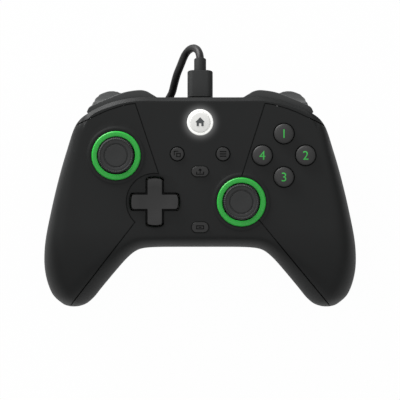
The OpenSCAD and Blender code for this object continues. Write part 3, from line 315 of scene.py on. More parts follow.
def top_place(end, inset):
    def place(u, v):
        p, a, b, bevel, power = across((2*u - 1)*end, v, inset)
        low = part_at(p.y) + sizes().land
        edge = bevel*bevelled(a) + (1 - bevel)*round_off(a, power)
        return p.x, p.y, low + (face_at(p.y) - inset - low)*edge*round_off(b)
    return place


def under_place(end, inset):
    def place(u, v):
        p, a, b, _, _ = across((2*u - 1)*end, v, inset)
        high = part_at(p.y) - sizes().land
        drop = high - back_at(p.x, p.y) - inset
        return p.x, p.y, high - drop*round_off(a/UNDER_ROUND)*round_off(b/UNDER_ROUND)
    return place


# Modelling helpers

def start_fresh():
    if bpy.context.object and bpy.context.object.mode != "OBJECT":
        bpy.ops.object.mode_set(mode="OBJECT")
    bpy.ops.object.select_all(action="DESELECT")


def take(obj):
    start_fresh()
    obj.select_set(True)
    bpy.context.view_layer.objects.active = obj
    return obj


def named(name):
    obj = bpy.context.object
    obj.name = name
    obj.data.name = name
    return obj


def edit_all(obj, *steps):
    """Run edit-mode steps on a whole mesh."""
    take(obj)
    bpy.ops.object.mode_set(mode="EDIT")
    bpy.ops.mesh.select_all(action="SELECT")
    for step in steps:
        step()
    bpy.ops.object.mode_set(mode="OBJECT")
    return obj


def face_outwards():
    bpy.ops.mesh.normals_make_consistent(inside=False)


def merge_points():
    bpy.ops.mesh.remove_doubles(threshold=1e-6)


def select_rim():
    bpy.ops.mesh.select_all(action="DESELECT")
    bpy.ops.mesh.select_non_manifold(extend=False, use_wire=False, use_boundary=True, use_multi_face=False,
                                     use_non_contiguous=False, use_verts=False)


def cap_rims():
    select_rim()
    bpy.ops.mesh.fill_holes(sides=0)
    bpy.ops.mesh.select_all(action="SELECT")


def sheet(name, rows, cols, place):
    """Grid whose points are laid where place puts their shares of the grid's length and width."""
    start_fresh()
    bpy.ops.mesh.primitive_grid_add(x_subdivisions=rows, y_subdivisions=cols, size=1)
    obj = named(name)
    for point in obj.data.vertices:
        point.co = place(point.co.x + 0.5, point.co.y + 0.5)
    return obj


def loft(name, rings, closed_ends=True):
    """Skin over closed rings with the same number of points."""
    rows, cols = len(rings) - 1, len(rings[0])
    def place(u, v):
        return rings[round(u*rows)][round(v*cols) % cols]
    obj = sheet(name, rows, cols, place)
    steps = [merge_points] + ([cap_rims] if closed_ends else []) + [face_outwards]
    return edit_all(obj, *steps)


def polar(at, r, angle):
    return at[0] + r*math.cos(angle), at[1] + r*math.sin(angle)


def turned(name, profile, at=(0, 0), base=0, steps=96, ripple=None):
    """Round piece from a profile of radius and height, around an upright axis."""
    last = len(profile) - 1
    def place(u, v):
        r, z = profile[round(v*last)]
        turn = 2*math.pi*u
        if ripple:
            r, z = ripple(r, z, turn)
        return (*polar(at, r, turn), base + z)
    return edit_all(sheet(name, steps, last, place), merge_points, face_outwards)


def bend(before, here, after, radius, share, steps):
    """Points around the corner at here, which takes up at most a share of each of its sides."""
    before, here, after = Vector(before), Vector(here), Vector(after)
    a = here + (before - here).normalized()*min(radius, share*(before - here).length)
    b = here + (after - here).normalized()*min(radius, share*(after - here).length)
    return [tuple((1 - f)**2*a + 2*f*(1 - f)*here + f*f*b) for f in (i/steps for i in range(steps + 1))]


def rounded(points, radius, steps=5):
    """Open outline with its inner corners rounded."""
    out = [points[0]]
    for before, here, after in zip(points, points[1:], points[2:]):
        out += bend(before, here, after, radius, 0.48, steps)
    return out + [points[-1]]


def drum(name, r, low, high, at=(0, 0), steps=48, soft=None):
    """Upright cylinder, its edges rounded where soft gives a radius and a number of steps."""
    profile = [(0, low), (r, low), (r, high), (0, high)]
    return turned(name, rounded(profile, *soft) if soft else profile, at, steps=steps)


def prism(name, outline, low, high):
    start_fresh()
    bpy.ops.mesh.primitive_circle_add(vertices=len(outline), radius=1, fill_type="NGON")
    obj = named(name)
    for point, (x, y) in zip(obj.data.vertices, outline):
        point.co = (x, y, low)
    def raise_top():
        bpy.ops.mesh.extrude_region_move(TRANSFORM_OT_translate={"value": (0, 0, high - low)})
        bpy.ops.mesh.select_all(action="SELECT")
    return edit_all(obj, raise_top, face_outwards)


def circle(centre, radius, steps):
    return [polar(centre, radius, 2*math.pi*k/steps) for k in range(steps)]


def pill(centre, half_l, half_w, steps=48):
    out = []
    for k in range(steps):
        angle = 2*math.pi*(k + 0.5)/steps
        x = math.copysign(half_l - half_w, math.cos(angle))
        out.append(polar((centre[0] + x, centre[1]), half_w, angle))
    return out


def grown(outline, d):
    """Anticlockwise outline moved outwards by d."""
    out = []
    for i, here in enumerate(outline):
        here = Vector(here)
        before, after = Vector(outline[i - 1]), Vector(outline[(i + 1) % len(outline)])
        a, b = (here - before).normalized(), (after - here).normalized()
        na, nb = Vector((a.y, -a.x)), Vector((b.y, -b.x))
        mid = (na + nb).normalized()
        out.append(tuple(here + mid*d/max(0.3, mid.dot(na))))
    return out


def join(name, *objs):
    take(objs[0])
    for obj in objs[1:]:
        obj.select_set(True)
    bpy.ops.object.join()
    return named(name)


def finish_with(obj, kind, **settings):
    """Add a modifier and apply it."""
    take(obj)
    modifier = obj.modifiers.new(kind.title(), kind)
    for key, value in settings.items():
        setattr(modifier, key, value)
    bpy.ops.object.modifier_apply(modifier=modifier.name)
    return obj


def carve(obj, cutter, operation="DIFFERENCE"):
    finish_with(obj, "BOOLEAN", operation=operation, object=cutter, solver="MANIFOLD")
    bpy.data.objects.remove(cutter)
    return obj


def duplicate(obj, name):
    copy = obj.copy()
    copy.data = obj.data.copy()
    bpy.context.scene.collection.objects.link(copy)
    copy.name = name
    copy.data.name = name
    return copy


def mirrored(obj, name):
    copy = duplicate(obj, name)
    copy.data.transform(Matrix.Scale(-1, 4, (1, 0, 0)))
    return edit_all(copy, face_outwards)


# Slots of the finishes that share one, and none for what is printed on a piece
SHARED_SLOTS = {
    "shell_painted_glow": "shell_black", "small_grey": "button_grey", "light_ring": "light_diffuser",
    "plug_satin": "cord_rubber", "glyph": None, "mark": None, "sign": None,
}


def settle(obj, finish, body, *nodes, slot=None, angle=32):
    """Shade, colour and attach a finished piece."""
    take(obj)
    bpy.ops.object.shade_smooth_by_angle(angle=math.radians(angle))
    obj.data.materials.clear()
    obj.data.materials.append(material(finish))
    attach(obj, body)
    if nodes:
        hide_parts(*nodes)
    slot = slot or SHARED_SLOTS.get(finish, finish)


# Finishes

class Wire:
    """A number that changes over a surface. Python's operators on it add Math nodes."""

    def __init__(self, shade, socket):
        self.shade, self.socket = shade, socket

    def _math(self, operation, a, b):
        return self.shade.node("ShaderNodeMath", {"operation": operation}, a, b)

    def __add__(self, other):
        return self._math("ADD", self, other)

    __radd__ = __add__

    def __sub__(self, other):
        return self._math("SUBTRACT", self, other)

    def __rsub__(self, other):
        return self._math("SUBTRACT", other, self)

    def __mul__(self, other):
        return self._math("MULTIPLY", self, other)

    __rmul__ = __mul__


class Shade:
    """The nodes of one material or world."""

    def __init__(self, owner, place="Object"):
        self.owner = owner
        owner.use_nodes = True
        self.tree = owner.node_tree
        self.tree.nodes.clear()
        self.place = self.node("ShaderNodeTexCoord", {}, output=place)

    def node(self, kind, settings, *values, output=0, at=(), **inputs):
        """Add a node, its sockets filled in order, by number in at, or by name with _ for a space."""
        made = self.tree.nodes.new(kind)
        for key, value in settings.items():
            setattr(made, key, value)
        for key, value in [*enumerate(values), *dict(at).items(), *inputs.items()]:
            socket = made.inputs[key.replace("_", " ") if isinstance(key, str) else key]
            if isinstance(value, Wire):
                self.tree.links.new(value.socket, socket)
            else:
                socket.default_value = value
        return Wire(self, made.outputs[output])

    def noise(self, scale, detail=2, roughness=0.5):
        return self.node("ShaderNodeTexNoise", {}, Vector=self.place, Scale=scale, Detail=detail,
                         Roughness=roughness)

    def cells(self, scale):
        return self.node("ShaderNodeTexVoronoi", {"feature": "F1"}, Vector=self.place, Scale=scale)

    def blend(self, share, first, second):
        """Mix of two colours."""
        return self.node("ShaderNodeMix", {"data_type": "RGBA"}, share, output=2, at={6: first, 7: second})

    def bump(self, height, depth, strength):
        return self.node("ShaderNodeBump", {}, Height=height, Distance=depth, Strength=strength)

    def surface(self, **inputs):
        self.end(self.node("ShaderNodeBsdfPrincipled", {}, **inputs))
        return self.owner

    def end(self, shader, kind="ShaderNodeOutputMaterial"):
        out = self.tree.nodes.new(kind)
        self.tree.links.new(shader.socket, out.inputs["Surface"])


def shade_for(name):
    return Shade(bpy.data.materials.new(name))


def rgba(colour, gain=1.0):
    return (*[min(1, level*gain) for level in colour], 1)


# Painted glow that stands for the light spilled by the lit ring: the distances in mm over which it fades, and its
# strength
GLOW_FROM, GLOW_TO, GLOW_LEVEL = 3, 14, 0.2


def moulded(name, colour, roughness, grain_mm, depth_mm, gloss=0.4, lamp=None):
    """Moulded plastic: fine spark-eroded grain, faint flow clouds and a little handling shine. Where a lamp is
    given, a painted glow stands for the light that a lit ring spills on it, and falls off with the distance from
    the lamp's plan place."""
    shade = shade_for(name)
    spill = {}
    # Painted light: emission on the shell, strongest at the lamp's plan place
    if lamp:
        plan = shade.node("ShaderNodeVectorMath", {"operation": "MULTIPLY"}, shade.place, (1, 1, 0))
        apart = shade.node("ShaderNodeVectorMath", {"operation": "DISTANCE"}, plan, (*lamp, 0),
                           output="Value")
        far = shade.node("ShaderNodeMapRange", {"interpolation_type": "SMOOTHERSTEP"}, Value=apart,
                         From_Min=GLOW_FROM*MM, From_Max=GLOW_TO*MM)
        near = 1 - far
        spill = {"Emission_Color": shade.blend(near*near*near, (0, 0, 0, 1), (1, 1, 1, 1)),
                 "Emission_Strength": GLOW_LEVEL}
    clouds = shade.noise(60, detail=3)
    grain = shade.noise(1/(grain_mm*MM), detail=3, roughness=0.7)
    specks = shade.cells(0.7/(grain_mm*MM))
    colour_mix = shade.blend(clouds*0.7 + grain*0.3, rgba(colour, 0.86), rgba(colour, 1.14))
    return shade.surface(
        Base_Color=colour_mix,
        Roughness=roughness - 0.05 + 0.08*clouds + 0.05*grain,
        Specular_IOR_Level=gloss,
        Normal=shade.bump(grain*0.6 + specks*0.4, depth_mm*MM, 0.35),
        **spill)


def rubbery(name, colour, roughness=0.72):
    """Soft moulded rubber with a dull skin and fine dust-like specks."""
    shade = shade_for(name)
    clouds = shade.noise(90, detail=4)
    skin = shade.noise(5200, detail=2)
    return shade.surface(
        Base_Color=shade.blend(clouds, rgba(colour, 0.85), rgba(colour, 1.18)),
        Roughness=roughness - 0.06 + 0.12*clouds,
        Normal=shade.bump(skin, 0.03*MM, 0.3))


def steely(name, colour):
    """Drawn steel: fine streaks along Z and a few duller patches."""
    shade = shade_for(name)
    stretch = shade.node("ShaderNodeMapping", {}, Vector=shade.place, Scale=(9000, 9000, 300))
    streaks = shade.node("ShaderNodeTexNoise", {}, Vector=stretch, Scale=1.0, Detail=2.0)
    patches = shade.noise(250, detail=3)
    return shade.surface(
        Base_Color=shade.blend(streaks, rgba(colour, 0.86), rgba(colour, 1.06)),
        Metallic=1.0,
        Roughness=0.24 + 0.16*patches,
        Normal=shade.bump(streaks, 0.01*MM, 0.2))


def board_mask(name, colour):
    """Solder mask with paler copper areas under it."""
    shade = shade_for(name)
    tracks = shade.node("ShaderNodeTexBrick", {"offset": 0.5}, Vector=shade.place, Scale=220.0, output="Fac")
    clouds = shade.noise(140, detail=3)
    return shade.surface(
        Base_Color=shade.blend(tracks*0.5 + clouds*0.3, rgba(colour, 0.8), rgba(colour, 1.7)),
        Roughness=0.34 + 0.12*clouds,
        Normal=shade.bump(tracks, 0.03*MM, 0.5))


def frosted_lamp(name, colour, glow):
    """Frosted diffuser, lit from behind."""
    shade = shade_for(name)
    clouds = shade.noise(400, detail=2)
    return shade.surface(
        Base_Color=shade.blend(clouds, rgba(colour, 0.96), rgba(colour, 1.0)),
        Roughness=0.42 + 0.1*clouds,
        Emission_Color=shade.blend(clouds, rgba(colour, 0.97), rgba(colour, 1.0)),
        Emission_Strength=glow)


def printed(name, colour, gloss=0.3):
    """Printed mark, slightly uneven as ink is."""
    shade = shade_for(name)
    ink = shade.noise(2600, detail=2)
    return shade.surface(
        Base_Color=shade.blend(ink, rgba(colour, 0.88), rgba(colour, 1.05)),
        Roughness=0.42 + 0.1*ink,
        Specular_IOR_Level=gloss)


def make_materials():
    f = finishes()
    return {
        "shell_black": moulded("shell grain", f.shell, 0.44, 0.28, 0.03, gloss=0.2),
        "button_grey": moulded("button satin", f.button, 0.42, 0.2, 0.012, gloss=0.3),
        "small_grey": moulded("small button satin", f.small, 0.42, 0.2, 0.012, gloss=0.3),
        "bumper_grey": moulded("bumper gloss", f.bumper, 0.3, 0.3, 0.008, gloss=0.3),
        "thumb_rubber": rubbery("thumb rubber", f.thumb),
        "ring_green": moulded("ring satin", f.ring, 0.36, 0.25, 0.01),
        "light_diffuser": frosted_lamp("home lamp", f.lamp, 0.12),
        "light_ring": frosted_lamp("home light ring", f.lamp, 0.45),
        # Shell finish with a painted glow around the home button's lit ring
        "shell_painted_glow": moulded("shell grain with painted lamp glow", f.shell, 0.44, 0.28, 0.03, gloss=0.2,
                             lamp=middle("home_button").xy),
        "cord_rubber": rubbery("cord jacket", f.cord, 0.5),
        "plug_satin": moulded("plug satin", f.plug, 0.6, 0.25, 0.012, gloss=0.15),
        "steel": steely("bright steel", f.steel),
        "silicone": rubbery("dome silicone", f.silicone, 0.6),
        "board": board_mask("solder mask", f.board),
        "inner_plastic": moulded("inner plastic", f.inner, 0.5, 0.4, 0.02),
        "glyph": printed("green print", f.glyph),
        "mark": printed("dark print", f.mark, 0.08),
        "sign": printed("grey print", f.sign),
    }


materials = {}


def material(name):
    if not materials:
        materials.update(make_materials())
    return materials[name]


# Stage

# Key lamp in metres: its place, its size and what it aims at
KEY_AT, KEY_SIZE, KEY_AIM = (-0.52, 0.8, 0.17), (0.7, 0.3), (0, 0, 0.03)
# Light of the sky at the horizon, as a share of that from overhead
SKY_LOW = 0.15
# How much of plain white the floor shows to the camera, in mirrored light and through clear pieces
FLOOR_SEEN, FLOOR_MIRRORED, FLOOR_THROUGH = 0.98, 0.25, 0.4
FLOOR_SIZE = 6
WHITE, PALE = (1, 1, 1, 1), (0.9, 0.9, 0.9, 1)


class GAMEPAD_OT_stage(bpy.types.Operator):
    """Camera straight above the face, white floor, one soft lamp and light from overhead"""
    bl_idname = "gamepad.stage"
    bl_label = "Stage"

    def execute(self, context):
        s = context.scene.gamepad_stage
        start_fresh()
        place = (s.view_x, s.view_y, sizes().face_z + s.camera_z)
        bpy.ops.object.camera_add(location=place, rotation=(0, 0, 0))
        camera = context.object
        camera.name = "camera"
        camera.data.sensor_fit = "HORIZONTAL"
        camera.data.lens = camera.data.sensor_width*s.camera_z/s.frame_w
        camera.data.clip_end = 3*s.camera_z
        context.scene.camera = camera
        self.lamp(s.key_w)
        self.world(s.world)
        self.floor()
        context.scene.view_settings.view_transform = "Standard"
        return {"FINISHED"}

    def lamp(self, power):
        start_fresh()
        bpy.ops.object.light_add(type="AREA", location=KEY_AT)
        lamp = bpy.context.object
        lamp.name = "key lamp"
        lamp.rotation_euler = (-Vector(KEY_AT) + Vector(KEY_AIM)).to_track_quat("-Z", "Y").to_euler()
        lamp.data.shape = "RECTANGLE"
        lamp.data.size, lamp.data.size_y = KEY_SIZE
        lamp.data.energy = power

    def world(self, strength):
        world = bpy.data.worlds.new("even light")
        bpy.context.scene.world = world
        shade = Shade(world, "Generated")
        height = shade.node("ShaderNodeSeparateXYZ", {}, shade.place, output="Z")
        sky = shade.node("ShaderNodeMapRange", {"interpolation_type": "SMOOTHSTEP"}, Value=height,
                         To_Min=SKY_LOW*strength, To_Max=strength)
        seen = shade.node("ShaderNodeLightPath", {}, output="Is Camera Ray")
        level = shade.node("ShaderNodeMix", {}, seen, at={2: sky, 3: 1.0})
        background = shade.node("ShaderNodeBackground", {}, Color=WHITE, Strength=level)
        shade.end(background, "ShaderNodeOutputWorld")

    def floor(self):
        start_fresh()
        bpy.ops.mesh.primitive_plane_add(size=FLOOR_SIZE)
        floor = named("floor")
        shade = shade_for("white floor")
        lit = shade.node("ShaderNodeBsdfDiffuse", {}, Color=PALE)
        plain = shade.node("ShaderNodeEmission", {}, Color=WHITE, Strength=1.0)
        camera, glossy, through = (shade.node("ShaderNodeLightPath", {}, output=ray) for ray in
                                   ("Is Camera Ray", "Is Glossy Ray", "Is Transmission Ray"))
        share = camera*FLOOR_SEEN + glossy*FLOOR_MIRRORED + through*FLOOR_THROUGH
        shade.end(shade.node("ShaderNodeMixShader", {}, share, lit, plain))
        floor.data.materials.append(shade.owner)


# Cord and plugs

# Coil: its middle in mm, the direction where it starts in degrees, its layers and the turns of each
COIL_AT = (-7.4, 13)
COIL_FROM = 140
COIL_LAYERS = 4
LAYER_TURNS = 13/3
TIE_T, TIE_GAP = 0.9, 0.25
LOOP_POINTS, ROUTE_STEPS = 36, 6
# Plug in mm: the port it sits in, its start from there, its neck and its edges, and the far plug's start
PLUG_TILT = math.radians(20)
PORT_AT = (0, 48.5, 33)
PLUG_START = 0.3
NECK_L, NECK_R = 6.8, 2.95
PLUG_EDGE = 0.35
FAR_PLUG = (34.2, 3, 4)
# Loop behind the neck: radius in mm, how far it turns and how far it rolls from level, in degrees
LOOP_R = 8
LOOP_TURN = 140
LOOP_ROLL = math.radians(55)


def coil_point(turn):
    """Place along the coil, in mm, counted in turns: each layer spirals the other way from the last."""
    s = sizes()
    pitch, layer_pitch = (s.cord_d + s.turn_gap)/MM, (s.cord_d + s.layer_gap)/MM
    low = TIE_T + TIE_GAP + s.cord_d/MM/2
    layer = min(COIL_LAYERS - 1, int(turn/LAYER_TURNS))
    part = turn - layer*LAYER_TURNS
    out = part if layer % 2 else LAYER_TURNS - part
    edge = round(turn/LAYER_TURNS)
    if edge in (0, COIL_LAYERS):
        level = max(0, edge - 1)
    else:
        level = edge - 1 + smooth(2*(turn - edge*LAYER_TURNS) + 0.5)
    r = s.coil_in_r/MM + pitch*out
    angle = math.radians(COIL_FROM + 360*turn)
    return Vector((*polar(COIL_AT, r, angle), low + layer_pitch*level))


def coil_heading(turn):
    angle = math.radians(COIL_FROM + 360*turn)
    return Vector((-math.sin(angle), math.cos(angle), 0))


def plug_axis():
    return Vector((0, math.cos(PLUG_TILT), -math.sin(PLUG_TILT)))


def plug_frame(offset):
    """Frame at a distance along the plug's axis, its Z along the axis and its X across the pad."""
    turn = Matrix.Rotation(-math.pi/2 - PLUG_TILT, 4, "X")
    return Matrix.Translation((Vector(PORT_AT) + plug_axis()*offset)*MM) @ turn


def neck_end():
    """End of the plug's neck, in mm."""
    return Vector(PORT_AT) + plug_axis()*(PLUG_START + sizes().plug_l/MM + NECK_L)


def loop_point(turn):
    """Place on the loop behind the neck, in mm, after a turn in degrees."""
    side = Vector((-math.cos(LOOP_ROLL), -math.sin(LOOP_ROLL)*math.sin(PLUG_TILT),
                   -math.sin(LOOP_ROLL)*math.cos(PLUG_TILT)))
    a = math.radians(turn)
    return neck_end() + LOOP_R*(math.sin(a)*plug_axis() + (1 - math.cos(a))*side)


def cord_points():
    """Whole centreline in mm, from the neck to the far plug."""
    turns = COIL_LAYERS*LAYER_TURNS
    d = sizes().cord_d/MM
    steps = round(turns*LOOP_POINTS)
    coil = [coil_point(turns*k/steps) for k in range(steps + 1)]
    loop = [loop_point(turn) for turn in range(0, LOOP_TURN, 5)]
    lead = [loop_point(LOOP_TURN - 20), loop_point(LOOP_TURN)] + [Vector(p) for p in LEAD_ROUTE]
    lead += [coil[0] - d*coil_heading(0), coil[0]]
    tail = [coil[-1], coil[-1] + d*coil_heading(turns)] + [Vector(p) for p in TAIL_ROUTE]
    tail += [Vector(FAR_PLUG), Vector(FAR_PLUG) + Vector((0, 4, 0))]
    n = ROUTE_STEPS
    lead_curve = [Vector(spline(lead, 1 + k/n)) for k in range(n*(len(lead) - 2) + 1)]
    tail_curve = [Vector(spline(tail, k/n)) for k in range(1, n*(len(tail) - 2) + 1)]
    return loop + lead_curve + coil[1:] + tail_curve


class GAMEPAD_OT_cord(bpy.types.Operator):
    """Cord from the neck of the plug, coiled under the body, to the far plug"""
    bl_idname = "gamepad.cord"
    bl_label = "Cord"

    def execute(self, context):
        s = sizes()
        points = [p*MM for p in cord_points()]
        curve = bpy.data.curves.new("cord", "CURVE")
        curve.dimensions = "3D"
        curve.bevel_depth = s.cord_d/2
        curve.bevel_resolution = 4
        curve.use_fill_caps = True
        line = curve.splines.new("POLY")
        line.points.add(len(points) - 1)
        for knot, p in zip(line.points, points):
            knot.co = (*p, 1)
        line.use_smooth = True
        cord = bpy.data.objects.new("cord", curve)
        context.scene.collection.objects.link(cord)
        curve.materials.append(material("cord_rubber"))
        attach(cord, "housing")
        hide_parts("cord_lead", "cord_coil", "cord_tail")
        long = sum((b - a).length for a, b in zip(points, points[1:]))
        tuple(points[0])
        return {"FINISHED"}


def bar_rings(half_w, half_t, corner, stops, steps=8):
    """Rings of a bar with round corners: stops are distances along it with the inset of its outline there."""
    rings = []
    for along, inset in stops:
        w, t, r = half_w - inset, half_t - inset, max(0.0002, corner - inset)
        ring = []
        for quarter, (sx, sy) in enumerate(((1, 1), (-1, 1), (-1, -1), (1, -1))):
            for i in range(steps + 1):
                a = math.pi/2*(quarter + i/steps)
                ring.append(Vector((sx*(w - r) + r*math.cos(a), sy*(t - r) + r*math.sin(a), along)))
        rings.append(ring)
    return rings


def soft_stops(long, r, steps=6):
    """Stops along a bar that round both of its ends."""
    angles = [math.pi/2*i/steps for i in range(steps + 1)]
    ends = [(r*(1 - math.cos(a)), r*(1 - math.sin(a))) for a in angles]
    return ends + [(long - along, inset) for along, inset in reversed(ends)]


class GAMEPAD_OT_plug(bpy.types.Operator):
    """Moulded plug at the rear with its neck"""
    bl_idname = "gamepad.plug"
    bl_label = "Plug"

    def execute(self, context):
        s = sizes()
        half_t = s.plug_t/2
        stops = soft_stops(s.plug_l, PLUG_EDGE*MM)
        body = loft("plug_body", bar_rings(s.plug_w/2, half_t, half_t - 0.6*MM, stops))
        body.data.transform(plug_frame(PLUG_START))
        settle(body, "plug_satin", "housing", "usb_plug", angle=50)
        neck = drum("plug_neck", NECK_R*MM, 0, NECK_L*MM, steps=64, soft=(PLUG_EDGE*MM, 4))
        neck.data.transform(plug_frame(PLUG_START + s.plug_l/MM))
        settle(neck, "plug_satin", "housing", "plug_strain_relief", angle=50)
        return {"FINISHED"}


# Housing

ROUND_BUTTONS, PILL_BUTTONS = ("view_button", "menu_button"), ("share_button", "profile_button")
SHELL_ROWS, SHELL_COLS = 208, 56
SEAT_GAP = 0.15*MM
COLLAR_RISE = 0.6*MM
DPAD_MARGIN = 1.4*MM
# Tongue that closes a seam: its depth below the face, its overlap with the faceplate and its gap to the panel
TONGUE_DEPTH, TONGUE_OUT, TONGUE_IN = 1.3*MM, 0.1*MM, 0.05*MM
# Reach of the cutters below and above the face, below the table and past the rear
CUT_DOWN, CUT_UP, CUT_UNDER, CUT_REAR = 12*MM, 5*MM, -5*MM, 80*MM
# Bay of a bumper, the room of a trigger and the radius that it sweeps
BAY_X0, BAY_X1, BAY_Y, BAY_GAP = 19.4*MM, 56.3*MM, 34*MM, 0.5*MM
TRIGGER_Y, TRIGGER_GAP, SWEEP_R = 33*MM, 0.7*MM, 15*MM
PLUG_GAP, JACK_R, JACK_L, WELL_R = 0.4*MM, 3.2*MM, 15*MM, 2.8*MM
# Wells of the screws: plan place and height of the seat, in mm
SCREWS = ((63.2, -34, 9), (22, 38.5, 22.4), (17.3, -18.4, 26))
# Angles in degrees where the seams pass the right ring and, mirrored, the dish of the cross
RIGHT_ARC, LEFT_ARC = (96, -44), range(98, -47, -4)


def shell_body(name, outer, inner):
    """Closed moulding: outer skin, inner skin and the rim between them at the parting line."""
    skin = sheet(name, SHELL_ROWS, SHELL_COLS, outer)
    lining = sheet(name + "_lining", SHELL_ROWS, SHELL_COLS, inner)
    whole = join(name, skin, lining)
    def draw_rims():
        select_rim()
        bpy.ops.mesh.extrude_region_move()
    edit_all(whole, draw_rims)
    for point in whole.data.vertices:
        if point.select:
            point.co.z = part_at(point.co.y)
    def close_rim():
        select_rim()
        bpy.ops.mesh.bridge_edge_loops()
        bpy.ops.mesh.select_all(action="SELECT")
    return edit_all(whole, close_rim, face_outwards)


def dpad_dish_r():
    s = sizes()
    return s.dpad_span/2 + s.dpad_gap + DPAD_MARGIN


def panel_outline(arc_at, r, angles):
    """Plan of a right-hand panel, anticlockwise, past the points of an arc at angles in degrees."""
    arc = [polar(arc_at, r, math.radians(a)) for a in angles]
    end = Vector(GRIP_SEAM_END)*MM
    far = PLAN_FAR*MM
    groove = [Vector(p[:2])*MM for p in smooth_curve(GROOVE, 4)]
    return [tuple(p) for p in groove] + arc + [tuple(end), (end.x + 2*MM, end.y - 2.6*MM),
                                               (far, end.y - 2.6*MM), (far, groove[0].y)]


def flip_x(outline):
    return [(-x, y) for x, y in reversed(outline)]


def trigger_pivot():
    return next(joint for joint in frame["joints"] if joint["child"] == "right_trigger")["pos_m"]


